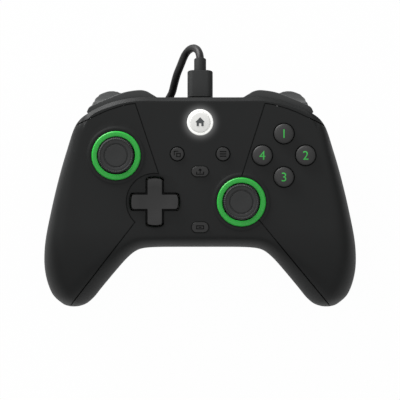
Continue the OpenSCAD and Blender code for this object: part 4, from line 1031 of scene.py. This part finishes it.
class GAMEPAD_OT_housing(bpy.types.Operator):
    """Three front mouldings with their openings, and the back moulding"""
    bl_idname = "gamepad.housing"
    bl_label = "Housing"

    def execute(self, context):
        s = sizes()
        front = shell_body("front", top_place(LAST_SECTION, 0), top_place(HOLLOW_END, s.wall))
        for side in ("left", "right"):
            carve(front, self.collar(stick_at(side)), "UNION")
        right = panel_outline(stick_at("right"), s.ring_bore, RIGHT_ARC)
        left = flip_x(panel_outline((-dpad_at().x, dpad_at().y), dpad_dish_r(), LEFT_ARC))
        right_panel = duplicate(front, "right_panel")
        left_panel = duplicate(front, "left_panel")
        carve(right_panel, self.slab(right, -s.seam/2), "INTERSECT")
        carve(left_panel, self.slab(left, -s.seam/2), "INTERSECT")
        for outline in (right, left):
            carve(front, self.slab(outline, s.seam/2))
            carve(front, self.tongue(outline), "UNION")
        self.open_faceplate(front)
        self.open_right(right_panel)
        carve(left_panel, self.ring_cut(stick_at("left")))
        back = shell_body("back", under_place(LAST_SECTION, 0), under_place(HOLLOW_END, s.wall))
        self.open_back(back)
        for piece, node in ((front, "center_faceplate"), (left_panel, "left_front_panel"),
                            (right_panel, "right_front_panel"), (back, "back_shell")):
            # The faceplate gets the shell finish with the painted glow around the home button
            settle(piece, "shell_painted_glow" if piece == front else "shell_black", "housing", node)
            piece.name = node + "_skin"
        return {"FINISHED"}

    def slab(self, outline, d):
        """Cutter through the whole housing, with an outline grown by d."""
        return prism("cut", grown(outline, d), -10*MM, sizes().face_z + 20*MM)

    def tongue(self, outline):
        """Ledge of the faceplate that closes a seam from below."""
        s = sizes()
        ledge = shell_body("ledge", top_place(LAST_SECTION, TONGUE_DEPTH), top_place(HOLLOW_END, s.wall))
        carve(ledge, self.slab(outline, s.seam/2 + TONGUE_OUT), "INTERSECT")
        return carve(ledge, self.slab(outline, TONGUE_IN - s.seam/2))

    def hole(self, at, r, chamfer=0.25*MM):
        """Round cutter with a small chamfer at the face."""
        top = sizes().face_z
        wide = r + 2*chamfer
        profile = [(0, top - CUT_DOWN), (r, top - CUT_DOWN), (r, top - chamfer), (wide, top + chamfer),
                   (wide, top + CUT_UP), (0, top + CUT_UP)]
        return turned("cut", profile, at, steps=72)

    def well(self, outline):
        """Straight cutter through the face."""
        top = sizes().face_z
        return prism("cut", outline, top - CUT_DOWN, top + CUT_UP)

    def ring_cut(self, at):
        """Cutter for a ring: its hole and its seat."""
        s = sizes()
        seat, rim, bore = s.face_z - s.dish_depth, s.ring_r + SEAT_GAP, s.ring_bore + 0.8*MM
        profile = [(0, seat - CUT_DOWN), (bore, seat - CUT_DOWN), (bore, seat), (rim, seat),
                   (rim, seat + CUT_UP), (0, seat + CUT_UP)]
        return turned("cut", profile, at, steps=128)

    def collar(self, at):
        """Low collar that slopes up to a ring."""
        s = sizes()
        seat, rim, top = s.face_z - s.dish_depth, s.ring_r, s.face_z + COLLAR_RISE
        foot = rim + s.dish_w + 0.3*MM
        profile = [(0, seat), (foot, seat), (foot, s.face_z - 0.05*MM), (foot - 0.3*MM, s.face_z + 0.06*MM),
                   (foot - 1.05*MM, top - 0.06*MM), (foot - 1.35*MM, top), (rim + 0.6*MM, top - 0.06*MM),
                   (rim, top - 0.2*MM), (0, top - 0.2*MM)]
        return turned("collar", profile, at, steps=128)

    def open_faceplate(self, front):
        s = sizes()
        top = s.face_z
        carve(front, self.ring_cut(stick_at("right")))
        r, over = dpad_dish_r() - s.dish_w, 0.2*MM
        brim = r + s.dish_w*(s.dish_depth + over)/s.dish_depth
        dish = [(0, top - s.dish_depth), (r, top - s.dish_depth), (brim, top + over), (brim, top + CUT_UP),
                (0, top + CUT_UP)]
        carve(front, turned("cut", dish, dpad_at(), steps=128))
        gap = s.dpad_gap
        carve(front, self.well(cross_outline(dpad_at(), s.dpad_span/2 + gap, s.dpad_arm/2 + gap, 1.5*MM)))
        gap = s.button_gap
        for node in ROUND_BUTTONS:
            carve(front, self.hole(middle(node).xy, s.small_button_r + gap))
        for node in PILL_BUTTONS:
            carve(front, self.well(pill(middle(node).xy, s.pill_l/2 + gap, s.pill_w/2 + gap)))
        carve(front, self.hole(middle("home_button").xy, s.home_ring_r + HOME_GAP, 0.1*MM))

    def open_right(self, panel):
        s = sizes()
        carve(panel, self.ring_cut(stick_at("right")))
        for side in ("top", "left", "right", "bottom"):
            carve(panel, self.hole(middle("face_button_" + side).xy, s.face_button_r + s.button_gap))

    def open_back(self, back):
        """Openings for the bumpers, triggers, plug and headset jack, and the wells of the screws."""
        s = sizes()
        sill = s.face_z - s.rear_depth - s.land - s.bumper_h - BAY_GAP
        for side in (-1, 1):
            def box(x0, x1, y0, low):
                outline = [(x0*side, y0), (x1*side, y0), (x1*side, CUT_REAR), (x0*side, CUT_REAR)]
                return prism("cut", outline[::side], low, s.face_z + CUT_UP)
            carve(back, box(BAY_X0, BAY_X1, BAY_Y, sill))
            carve(back, box(s.trigger_x0 - TRIGGER_GAP, s.trigger_x1 + TRIGGER_GAP, TRIGGER_Y, CUT_UNDER))
            carve(back, self.trigger_sweep(side))
            for x, y, seat in SCREWS:
                carve(back, prism("cut", circle((side*x*MM, y*MM), WELL_R, 48), CUT_UNDER, seat*MM))
        bar = loft("cut", bar_rings(s.plug_w/2 + PLUG_GAP, s.plug_t/2 + PLUG_GAP, s.plug_t/2 - 0.2*MM,
                                    [(-6*MM, 0), (6*MM, 0)]))
        bar.data.transform(plug_frame(0))
        carve(back, bar)
        jack = drum("cut", JACK_R, 0, JACK_L, steps=64)
        low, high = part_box("headset_jack")
        place = Matrix.Translation((0, low.y + 5*MM, high.z - 3*MM))
        jack.data.transform(place @ Matrix.Rotation(math.pi/2, 4, "X"))
        carve(back, jack)

    def trigger_sweep(self, side):
        s = sizes()
        sweep = drum("cut", SWEEP_R, 0, s.trigger_x1 - s.trigger_x0 + 2*TRIGGER_GAP, steps=96)
        x = s.trigger_x0 - TRIGGER_GAP if side > 0 else -s.trigger_x1 - TRIGGER_GAP
        place = Matrix.Translation((x, *trigger_pivot()[1:]))
        sweep.data.transform(place @ Matrix.Rotation(math.pi/2, 4, "Y"))
        return sweep


# Sticks

# Thumb cap in mm, below its crest: points of its rim from the outer edge in, and of its groove from the
# groove's middle
CAP_RIM = [(0, -1.3), (-0.3, -0.35), (-0.7, 0), (-0.95, -0.03), (-1.35, -0.4), (-1.75, -0.3)]
CAP_GROOVE = [(0.4, -0.4), (0.15, -0.8), (-0.15, -0.8), (-0.4, -0.45)]
CAP_INSET, STEM_R, STEM_LOW, GROOVE_R = 0.2*MM, 3.2*MM, 7*MM, 5.65*MM
# Knurled rim: how many ridges, and in mm their least and added depth at the side and their depth on top
RIDGES = 56
SIDE_CUT, SIDE_WAVE, RIM_WAVE = 0.12, 0.22, 0.2


class GAMEPAD_OT_sticks(bpy.types.Operator):
    """Thumb caps with knurled rims, and the coloured rings around them"""
    bl_idname = "gamepad.sticks"
    bl_label = "Sticks"

    def execute(self, context):
        for side in ("left", "right"):
            at = stick_at(side)
            self.cap(side + "_stick_cap", side + "_thumb_cap", at)
            self.ring(side, at)
        return {"FINISHED"}

    def cap(self, node, name, at):
        s = sizes()
        under = s.pivot_depth + s.cap_lift
        crest = under + s.cap_t
        r = s.cap_r - CAP_INSET
        profile = [(0, STEM_LOW), (STEM_R, STEM_LOW), (STEM_R, under - 2.4*MM),
                   (STEM_R + 1.4*MM, under - 0.5*MM), (r - 0.7*MM, under), (r, under + 0.8*MM)]
        profile += [(r + x*MM, crest + z*MM) for x, z in CAP_RIM]
        profile += [(GROOVE_R + x*MM, crest + z*MM) for x, z in CAP_GROOVE]
        profile += [(2*MM, crest - 0.6*MM), (0, crest - 0.62*MM)]
        def knurl(radius, z, turn):
            on_side = smooth((radius - (r - 0.5*MM))/(0.3*MM))*smooth((z - under - 0.6*MM)/(0.5*MM))
            on_rim = smooth((radius - (r - 1.4*MM))/(0.4*MM))*smooth((z - crest + 0.7*MM)/(0.4*MM))
            wave = 0.5 - 0.5*math.cos(RIDGES*turn)
            return radius - (SIDE_CUT + SIDE_WAVE*wave)*MM*on_side, z - RIM_WAVE*MM*wave*on_rim
        cap = turned(name, rounded(profile, 0.15*MM, 4), at, s.face_z - s.pivot_depth, 360, knurl)
        settle(cap, "thumb_rubber", node, node, angle=60)

    def ring(self, side, at):
        s = sizes()
        rise, bore, r = s.dish_depth + s.ring_rise, s.ring_bore, s.ring_r
        skirt, low = bore + 0.6*MM, -s.wall - 0.6*MM
        profile = [(bore, low), (skirt, low), (skirt, 0), (r, 0), (r, rise - 0.5*MM), (r - 0.5*MM, rise),
                   (bore + 0.2*MM, rise), (bore, rise - 0.2*MM), (bore, low)]
        ring = turned(side + "_ring", rounded(profile, 0.2*MM, 4), at, s.face_z - s.dish_depth, 128)
        settle(ring, "ring_green", "housing", side + "_stick_ring", angle=50)


# Direction pad and buttons

# Ball that dishes the cross, and its height over the crest
THUMB_R, THUMB_LIFT = 28*MM, 26.9*MM
FLANGE_T, NUB_R, NUB_AT, HUB_R, HUB_BORE = 1.2*MM, 2*MM, 7.6*MM, 4*MM, 2.1*MM
# Buttons: stem, flange under the face and its clearance, dome of the face buttons and gap of the home button
FOOT_R, SMALL_FOOT_R, EAR, SHELF_GAP = 2.6*MM, 1.8*MM, 0.8*MM, 0.2*MM
CROWN, HOME_GAP = 1.3*MM, 0.05*MM
NUMBER_SIZE, NUMBER_RISE, MARK_RISE, MARK_T, SIGN_T = 6.2*MM, 0.03*MM, 0.02*MM, 0.1*MM, 0.22*MM
# Sign on the home button, in mm
HOUSE = [
    (-2.3, 0.1), (-1.7, 0.1), (-1.7, -1.9), (-0.6, -1.9), (-0.6, -0.5), (0.6, -0.5), (0.6, -1.9), (1.7, -1.9),
    (1.7, 0.1), (2.3, 0.1), (0, 2.4),
]


def cross_outline(at, half_span, half_arm, corner):
    """Cross whose arms end on a circle, with rounded corners, anticlockwise."""
    ends = math.asin(half_arm/half_span)
    points = []
    for quarter in range(4):
        turn = math.pi/2*quarter
        points += [polar((0, 0), half_span, turn + ends*k/4) for k in range(-4, 5)]
        points.append(polar((0, 0), half_arm*math.sqrt(2), turn + math.pi/4))
    out = []
    for i, here in enumerate(points):
        kind = i % 10
        if kind in (0, 8, 9):
            r = corner*(0.35 if kind == 9 else 1)
            out += bend(points[i - 1], here, points[(i + 1) % len(points)], r, 0.9, 4)
        else:
            out.append(here)
    return [(at[0] + x, at[1] + y) for x, y in out]


class GAMEPAD_OT_direction_pad(bpy.types.Operator):
    """One-piece cross with a thumb dish in the middle and rounded arms"""
    bl_idname = "gamepad.direction_pad"
    bl_label = "Direction Pad"

    def execute(self, context):
        s = sizes()
        at = dpad_at()
        top = s.face_z + s.dpad_rise
        outline = cross_outline(at, s.dpad_span/2, s.dpad_arm/2, 0.8*MM)
        cross = prism("cross_pad", outline, s.face_z - s.wall - 1.6*MM, top)
        start_fresh()
        bpy.ops.mesh.primitive_uv_sphere_add(segments=160, ring_count=80, radius=THUMB_R,
                                             location=(at.x, at.y, top + THUMB_LIFT))
        ball = named("cut")
        bpy.ops.object.transform_apply(location=True, rotation=False, scale=False)
        carve(cross, ball)
        finish_with(cross, "BEVEL", width=0.7*MM, segments=4, limit_method="ANGLE",
                    angle_limit=math.radians(50), harden_normals=False)
        base = self.base(at)
        settle(cross, "button_grey", "dpad", "dpad", angle=40)
        # The base is the cross's own grey moulding; its darker shell finish is painted shade in the gap around the
        # cross
        settle(base, "shell_black", "dpad", slot="button_grey", angle=40)
        return {"FINISHED"}

    def base(self, at):
        """Flange under the face, the nubs that press the domes and the socket of the pivot."""
        s = sizes()
        low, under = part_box("dpad")[0].z, s.face_z - s.wall - 2.7*MM
        root, soft = under + 0.2*MM, (0.3*MM, 3)
        flange = drum("flange", s.dpad_span/2, under, under + FLANGE_T, at, 72, soft)
        nubs = [drum("nub", NUB_R, low, root, polar(at, NUB_AT, math.pi/2*k), 32, soft) for k in range(4)]
        foot = low + 4.5*MM
        profile = [(HUB_BORE, foot), (HUB_R, foot), (HUB_R, root), (0, root), (0, foot + 1.7*MM),
                   (1.2*MM, foot + 1.2*MM), (HUB_BORE, foot)]
        return join("cross_base_painted_shade", flange, turned("hub", profile, at, steps=48), *nubs)


def dome_height(r):
    s = sizes()
    return s.face_z + s.face_button_rise - CROWN + CROWN*math.sqrt(max(0, 1 - (r/s.face_button_r)**2))


def shelf_height():
    """Height of the flanges' tops, just under the face's wall."""
    s = sizes()
    return s.face_z - s.wall - SHELF_GAP


def button_foot(node, r):
    """Profile of a round button's stem and flange, up to its side."""
    low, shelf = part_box(node)[0].z, shelf_height()
    return [(0, low), (FOOT_R, low), (FOOT_R, shelf - EAR), (r + EAR, shelf - EAR), (r + EAR, shelf),
            (r, shelf)]


class GAMEPAD_OT_face_buttons(bpy.types.Operator):
    """Four domed face buttons with printed numbers"""
    bl_idname = "gamepad.face_buttons"
    bl_label = "Face Buttons"

    def execute(self, context):
        for side, mark in (("top", "1"), ("right", "2"), ("bottom", "3"), ("left", "4")):
            name = "face_button_" + side
            at = middle(name).xy
            self.button(name, at)
            self.number(name, at, mark)
        return {"FINISHED"}

    def button(self, name, at):
        s = sizes()
        r = s.face_button_r
        top = s.face_z + s.face_button_rise
        foot = rounded(button_foot(name, r) + [(r, top - CROWN)], 0.2*MM, 3)
        radii = [r*math.cos(math.pi/2*k/16) for k in range(1, 16)]
        dome = [(radius, dome_height(radius)) for radius in radii]
        settle(turned(name + "_cap", foot + dome + [(0, top)], at), "button_grey", name, name, angle=45)

    def number(self, name, at, mark):
        start_fresh()
        bpy.ops.object.text_add()
        text = bpy.context.object
        text.data.body = mark
        text.data.size = NUMBER_SIZE
        text.data.align_x = "CENTER"
        text.data.align_y = "CENTER"
        bpy.ops.object.convert(target="MESH")
        glyph = named(name + "_number")
        def split():
            bpy.ops.mesh.quads_convert_to_tris()
            bpy.ops.mesh.subdivide(number_cuts=4)
        edit_all(glyph, split)
        xs = [p.co.x for p in glyph.data.vertices]
        ys = [p.co.y for p in glyph.data.vertices]
        mid = Vector(((min(xs) + max(xs))/2, (min(ys) + max(ys))/2))
        for point in glyph.data.vertices:
            x, y = point.co.x - mid.x, point.co.y - mid.y
            point.co = (at.x + x, at.y + y, dome_height(math.hypot(x, y)) + NUMBER_RISE)
        settle(glyph, "glyph", name)


class GAMEPAD_OT_system_buttons(bpy.types.Operator):
    """Small round buttons, pill buttons, and the home button in its lit ring"""
    bl_idname = "gamepad.system_buttons"
    bl_label = "System Buttons"

    def execute(self, context):
        self.top = sizes().face_z + sizes().small_rise
        for name in ROUND_BUTTONS:
            self.round_button(name)
        for name in PILL_BUTTONS:
            self.pill_button(name)
        self.home()
        self.marks()
        return {"FINISHED"}

    def round_button(self, name):
        r = sizes().small_button_r
        profile = button_foot(name, r) + [(r, self.top - 0.1*MM), (r*0.5, self.top), (0, self.top)]
        button = turned(name + "_cap", rounded(profile, 0.3*MM, 4), middle(name).xy, steps=72)
        settle(button, "small_grey", name, name, angle=45)

    def pill_button(self, name):
        s = sizes()
        at, low, shelf = middle(name).xy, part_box(name)[0].z, shelf_height()
        edge = 0.35*MM
        angles = [math.pi/2*k/5 for k in range(6)]
        stops = [(shelf, 0)] + [(self.top - edge + edge*math.sin(a), edge*(1 - math.cos(a))) for a in angles]
        rings = []
        for z, inset in stops:
            rings.append([(x, y, z) for x, y in pill(at, s.pill_l/2 - inset, s.pill_w/2 - inset)])
        head = loft(name + "_head", rings)
        ears = prism("ears", pill(at, s.pill_l/2 + EAR, s.pill_w/2), shelf - EAR, shelf)
        stem = drum("stem", SMALL_FOOT_R, low, shelf, at, 32)
        settle(join(name + "_cap", head, ears, stem), "small_grey", name, name, angle=40)

    def home(self):
        s = sizes()
        at, low, r, top = middle("home_button").xy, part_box("home_button")[0].z, s.home_r, self.top
        back = s.face_z - s.wall
        shelf = back - 0.6*MM
        profile = [(0, low), (SMALL_FOOT_R, low), (SMALL_FOOT_R, shelf), (r, shelf), (r, top - 0.2*MM),
                   (r - 0.6*MM, top), (0, top + 0.2*MM)]
        button = turned("home_cap", rounded(profile, 0.3*MM, 4), at)
        settle(button, "light_diffuser", "home_button", "home_button", angle=45)
        bore, outer, rise = r + HOME_GAP, s.home_ring_r, s.face_z + 0.5*MM
        low = back - 0.9*MM
        profile = [(bore, low), (outer + EAR, low), (outer + EAR, back), (outer, back),
                   (outer, s.face_z + 0.3*MM), (outer - 0.2*MM, rise), (bore, rise), (bore, low)]
        ring = turned("home_ring", rounded(profile, 0.15*MM, 3), at)
        settle(ring, "light_ring", "housing", "home_light_ring", angle=45)

    def marks(self):
        """Thin printed signs: two frames, three bars, a tray, a framed bar and a house."""
        top = self.top + MARK_RISE
        def bar(x, y, w, h):
            return [(x - w/2, y - h/2), (x + w/2, y - h/2), (x + w/2, y + h/2), (x - w/2, y + h/2)]
        def frame_bars(x, y, w, h, line):
            return [bar(x, y + h/2, w + line, line), bar(x, y - h/2, w + line, line),
                    bar(x - w/2, y, line, h), bar(x + w/2, y, line, h)]
        def plate(name, body, outline, low, high):
            c = middle(body).xy
            return prism(name, [(c.x + x*MM, c.y + y*MM) for x, y in outline], low, high)
        signs = {
            "view_button": frame_bars(0.6, -0.55, 1.7, 1.6, 0.42) + [
                bar(-0.55, 1.3, 2.2, 0.42), bar(-1.45, 0.45, 0.42, 2.1)],
            "menu_button": [bar(0, y, 3.2, 0.5) for y in (1.1, 0, -1.1)],
            "share_button": [bar(0, -1.3, 3.8, 0.45), bar(-1.7, -0.7, 0.45, 1.2), bar(1.7, -0.7, 0.45, 1.2),
                             bar(0, 0, 0.45, 1.6), [(-1, 0.5), (1, 0.5), (0, 1.6)]],
            "profile_button": frame_bars(0, 0, 3.4, 1.5, 0.45) + [bar(0, 0, 1.4, 0.45)],
        }
        for body, outlines in signs.items():
            pieces = [plate("bar", body, outline, top - MARK_T, top) for outline in outlines]
            settle(join(body + "_mark", *pieces), "mark", body)
        settle(plate("home_sign", "home_button", HOUSE, top, top + SIGN_T), "sign", "home_button")


# Bumpers and triggers

# Hinge boss of the right bumper in plan, and its switch arm's corners
BOSS_AT, BOSS_R = (24.6*MM, 45.2*MM), 3*MM
ARM = [(48*MM, 37.5*MM), (51*MM, 37.5*MM), (51*MM, 43.5*MM), (48*MM, 43.5*MM)]
ARM_T, ARM_GAP = 3*MM, 0.4*MM
# Trigger in mm: points of its face along Y and below its top, the flat of its top, the room under the bumper,
# the radii about its pin, the sections across it, and where and how its side edges draw in
TRIGGER_FACE = [
    (47.2, -1.2), (47.3, -5), (46.9, -10), (47.2, -14.4), (48.6, -18.4), (51, -21.6), (52.7, -23.4),
    (52.6, -24.8), (50.6, -24.8), (47.6, -22.6),
]
TOP_FROM, TOP_TO = 43.6, 46
TRIGGER_CLEAR, HEEL_R, BARREL_R = 0.8, 14.5, 3
TRIGGER_CORE = Vector((42, 24))
STATIONS = 36
SIDE_ROUND, SIDE_DRAW = 0.9, 0.6


def settle_pair(right, what):
    """Attach a right-hand piece and its mirror image."""
    left = mirrored(right, "left_" + what + "_skin")
    for piece, body in ((right, "right_" + what), (left, "left_" + what)):
        settle(piece, "bumper_grey", body, body, angle=45)


class GAMEPAD_OT_bumpers(bpy.types.Operator):
    """Swept bumpers, each with its hinge boss and switch arm"""
    bl_idname = "gamepad.bumpers"
    bl_label = "Bumpers"

    def execute(self, context):
        s = sizes()
        top = s.face_z - s.rear_depth - s.land
        low = top - s.bumper_h
        profile = rounded(BUMPER_PROFILE + [BUMPER_PROFILE[0]], 0.12, 4)[:-1]
        rings = []
        for x0, y0, x1, y1, drop in smooth_curve(BUMPER_ROWS, 8):
            tall = top - drop*MM - low
            rings.append([((x0 + q*(x1 - x0))*MM, (y0 + q*(y1 - y0))*MM, low + h*tall) for q, h in profile])
        skin = loft("right_bumper_skin", rings)
        boss = drum("boss", BOSS_R, low, top - ARM_GAP, BOSS_AT)
        arm = prism("arm", ARM, low + ARM_GAP, low + (ARM_GAP + ARM_T))
        settle_pair(join("right_bumper_skin", skin, boss, arm), "bumper")
        return {"FINISHED"}


class GAMEPAD_OT_triggers(bpy.types.Operator):
    """Curved triggers that reach down behind the grips"""
    bl_idname = "gamepad.triggers"
    bl_label = "Triggers"

    def execute(self, context):
        settle_pair(self.trigger("right_trigger_skin"), "trigger")
        return {"FINISHED"}

    def trigger(self, name):
        s = sizes()
        pin = [v/MM for v in trigger_pivot()[1:]]
        top = (s.face_z - s.rear_depth - s.land - s.bumper_h)/MM - TRIGGER_CLEAR
        heel = [polar(pin, HEEL_R, math.radians(a)) for a in range(-44, -93, -6)]
        barrel = [polar(pin, BARREL_R, math.radians(a)) for a in range(-120, -321, -20)]
        face = smooth_curve([(y, top + z) for y, z in TRIGGER_FACE], 5)
        side = barrel + [(TOP_FROM, top), (TOP_TO, top)] + face + heel
        x0, x1 = s.trigger_x0/MM, s.trigger_x1/MM
        plan = [(x0, 50.4), (x0 + 1.4, 52), (x0 + 5.6, 52.9), (48.2, 51.9), (50.9, 49.9), (52.8, 46.6),
                (x1, 42)]
        reach = smooth_curve(plan, 6)
        rings = []
        for k in range(STATIONS + 1):
            x = x0 + (x1 - x0)*(0.5 - 0.5*math.cos(math.pi*k/STATIONS))
            limit = next((y for px, y in reach if px >= x - 1e-6), reach[-1][1])
            pull = SIDE_DRAW*(1 - round_off(min(x - x0, x1 - x)/SIDE_ROUND))
            ring = []
            for y, z in side:
                point = Vector((min(y, limit), z))
                point += (TRIGGER_CORE - point).normalized()*pull
                ring.append((x*MM, point.x*MM, point.y*MM))
            rings.append(ring)
        return loft(name, rings)


# Carried-over solids

class GAMEPAD_OT_inside(bpy.types.Operator):
    """Finishes of the solids that are shown as they are"""
    bl_idname = "gamepad.inside"
    bl_label = "Inside"

    def execute(self, context):
        slots = {part["node"]: part["material_slot"] for part in frame["record"]["subparts"]}
        for node, obj in frame["nodes"].items():
            obj.data.materials.clear()
            obj.data.materials.append(material(slots[node]))
        return {"FINISHED"}


class GAMEPAD_PT_panel(bpy.types.Panel):
    """Steps that build the gamepad"""
    bl_idname = "GAMEPAD_PT_panel"
    bl_label = "Wired Gamepad"
    bl_space_type = "VIEW_3D"
    bl_region_type = "UI"
    bl_category = "Gamepad"

    def draw(self, context):
        for step in STEPS:
            self.layout.operator(step.bl_idname)


STEPS = (
    GAMEPAD_OT_stage,
    GAMEPAD_OT_cord,
    GAMEPAD_OT_plug,
    GAMEPAD_OT_inside,
    GAMEPAD_OT_housing,
    GAMEPAD_OT_sticks,
    GAMEPAD_OT_direction_pad,
    GAMEPAD_OT_face_buttons,
    GAMEPAD_OT_system_buttons,
    GAMEPAD_OT_bumpers,
    GAMEPAD_OT_triggers,
)
GROUPS = (GamepadSizes, GamepadFinishes, GamepadStage)
CLASSES = GROUPS + STEPS + (GAMEPAD_PT_panel,)


def register():
    for cls in CLASSES:
        bpy.utils.register_class(cls)
    bpy.types.Scene.gamepad_sizes = PointerProperty(type=GamepadSizes)
    bpy.types.Scene.gamepad_finishes = PointerProperty(type=GamepadFinishes)
    bpy.types.Scene.gamepad_stage = PointerProperty(type=GamepadStage)


def unregister():
    del bpy.types.Scene.gamepad_stage
    del bpy.types.Scene.gamepad_finishes
    del bpy.types.Scene.gamepad_sizes
    for cls in reversed(CLASSES):
        bpy.utils.unregister_class(cls)


def main():
    register()
    for step in STEPS:
        group, name = step.bl_idname.split(".")
        getattr(getattr(bpy.ops, group), name)()


if __name__ == "__main__":
    main()
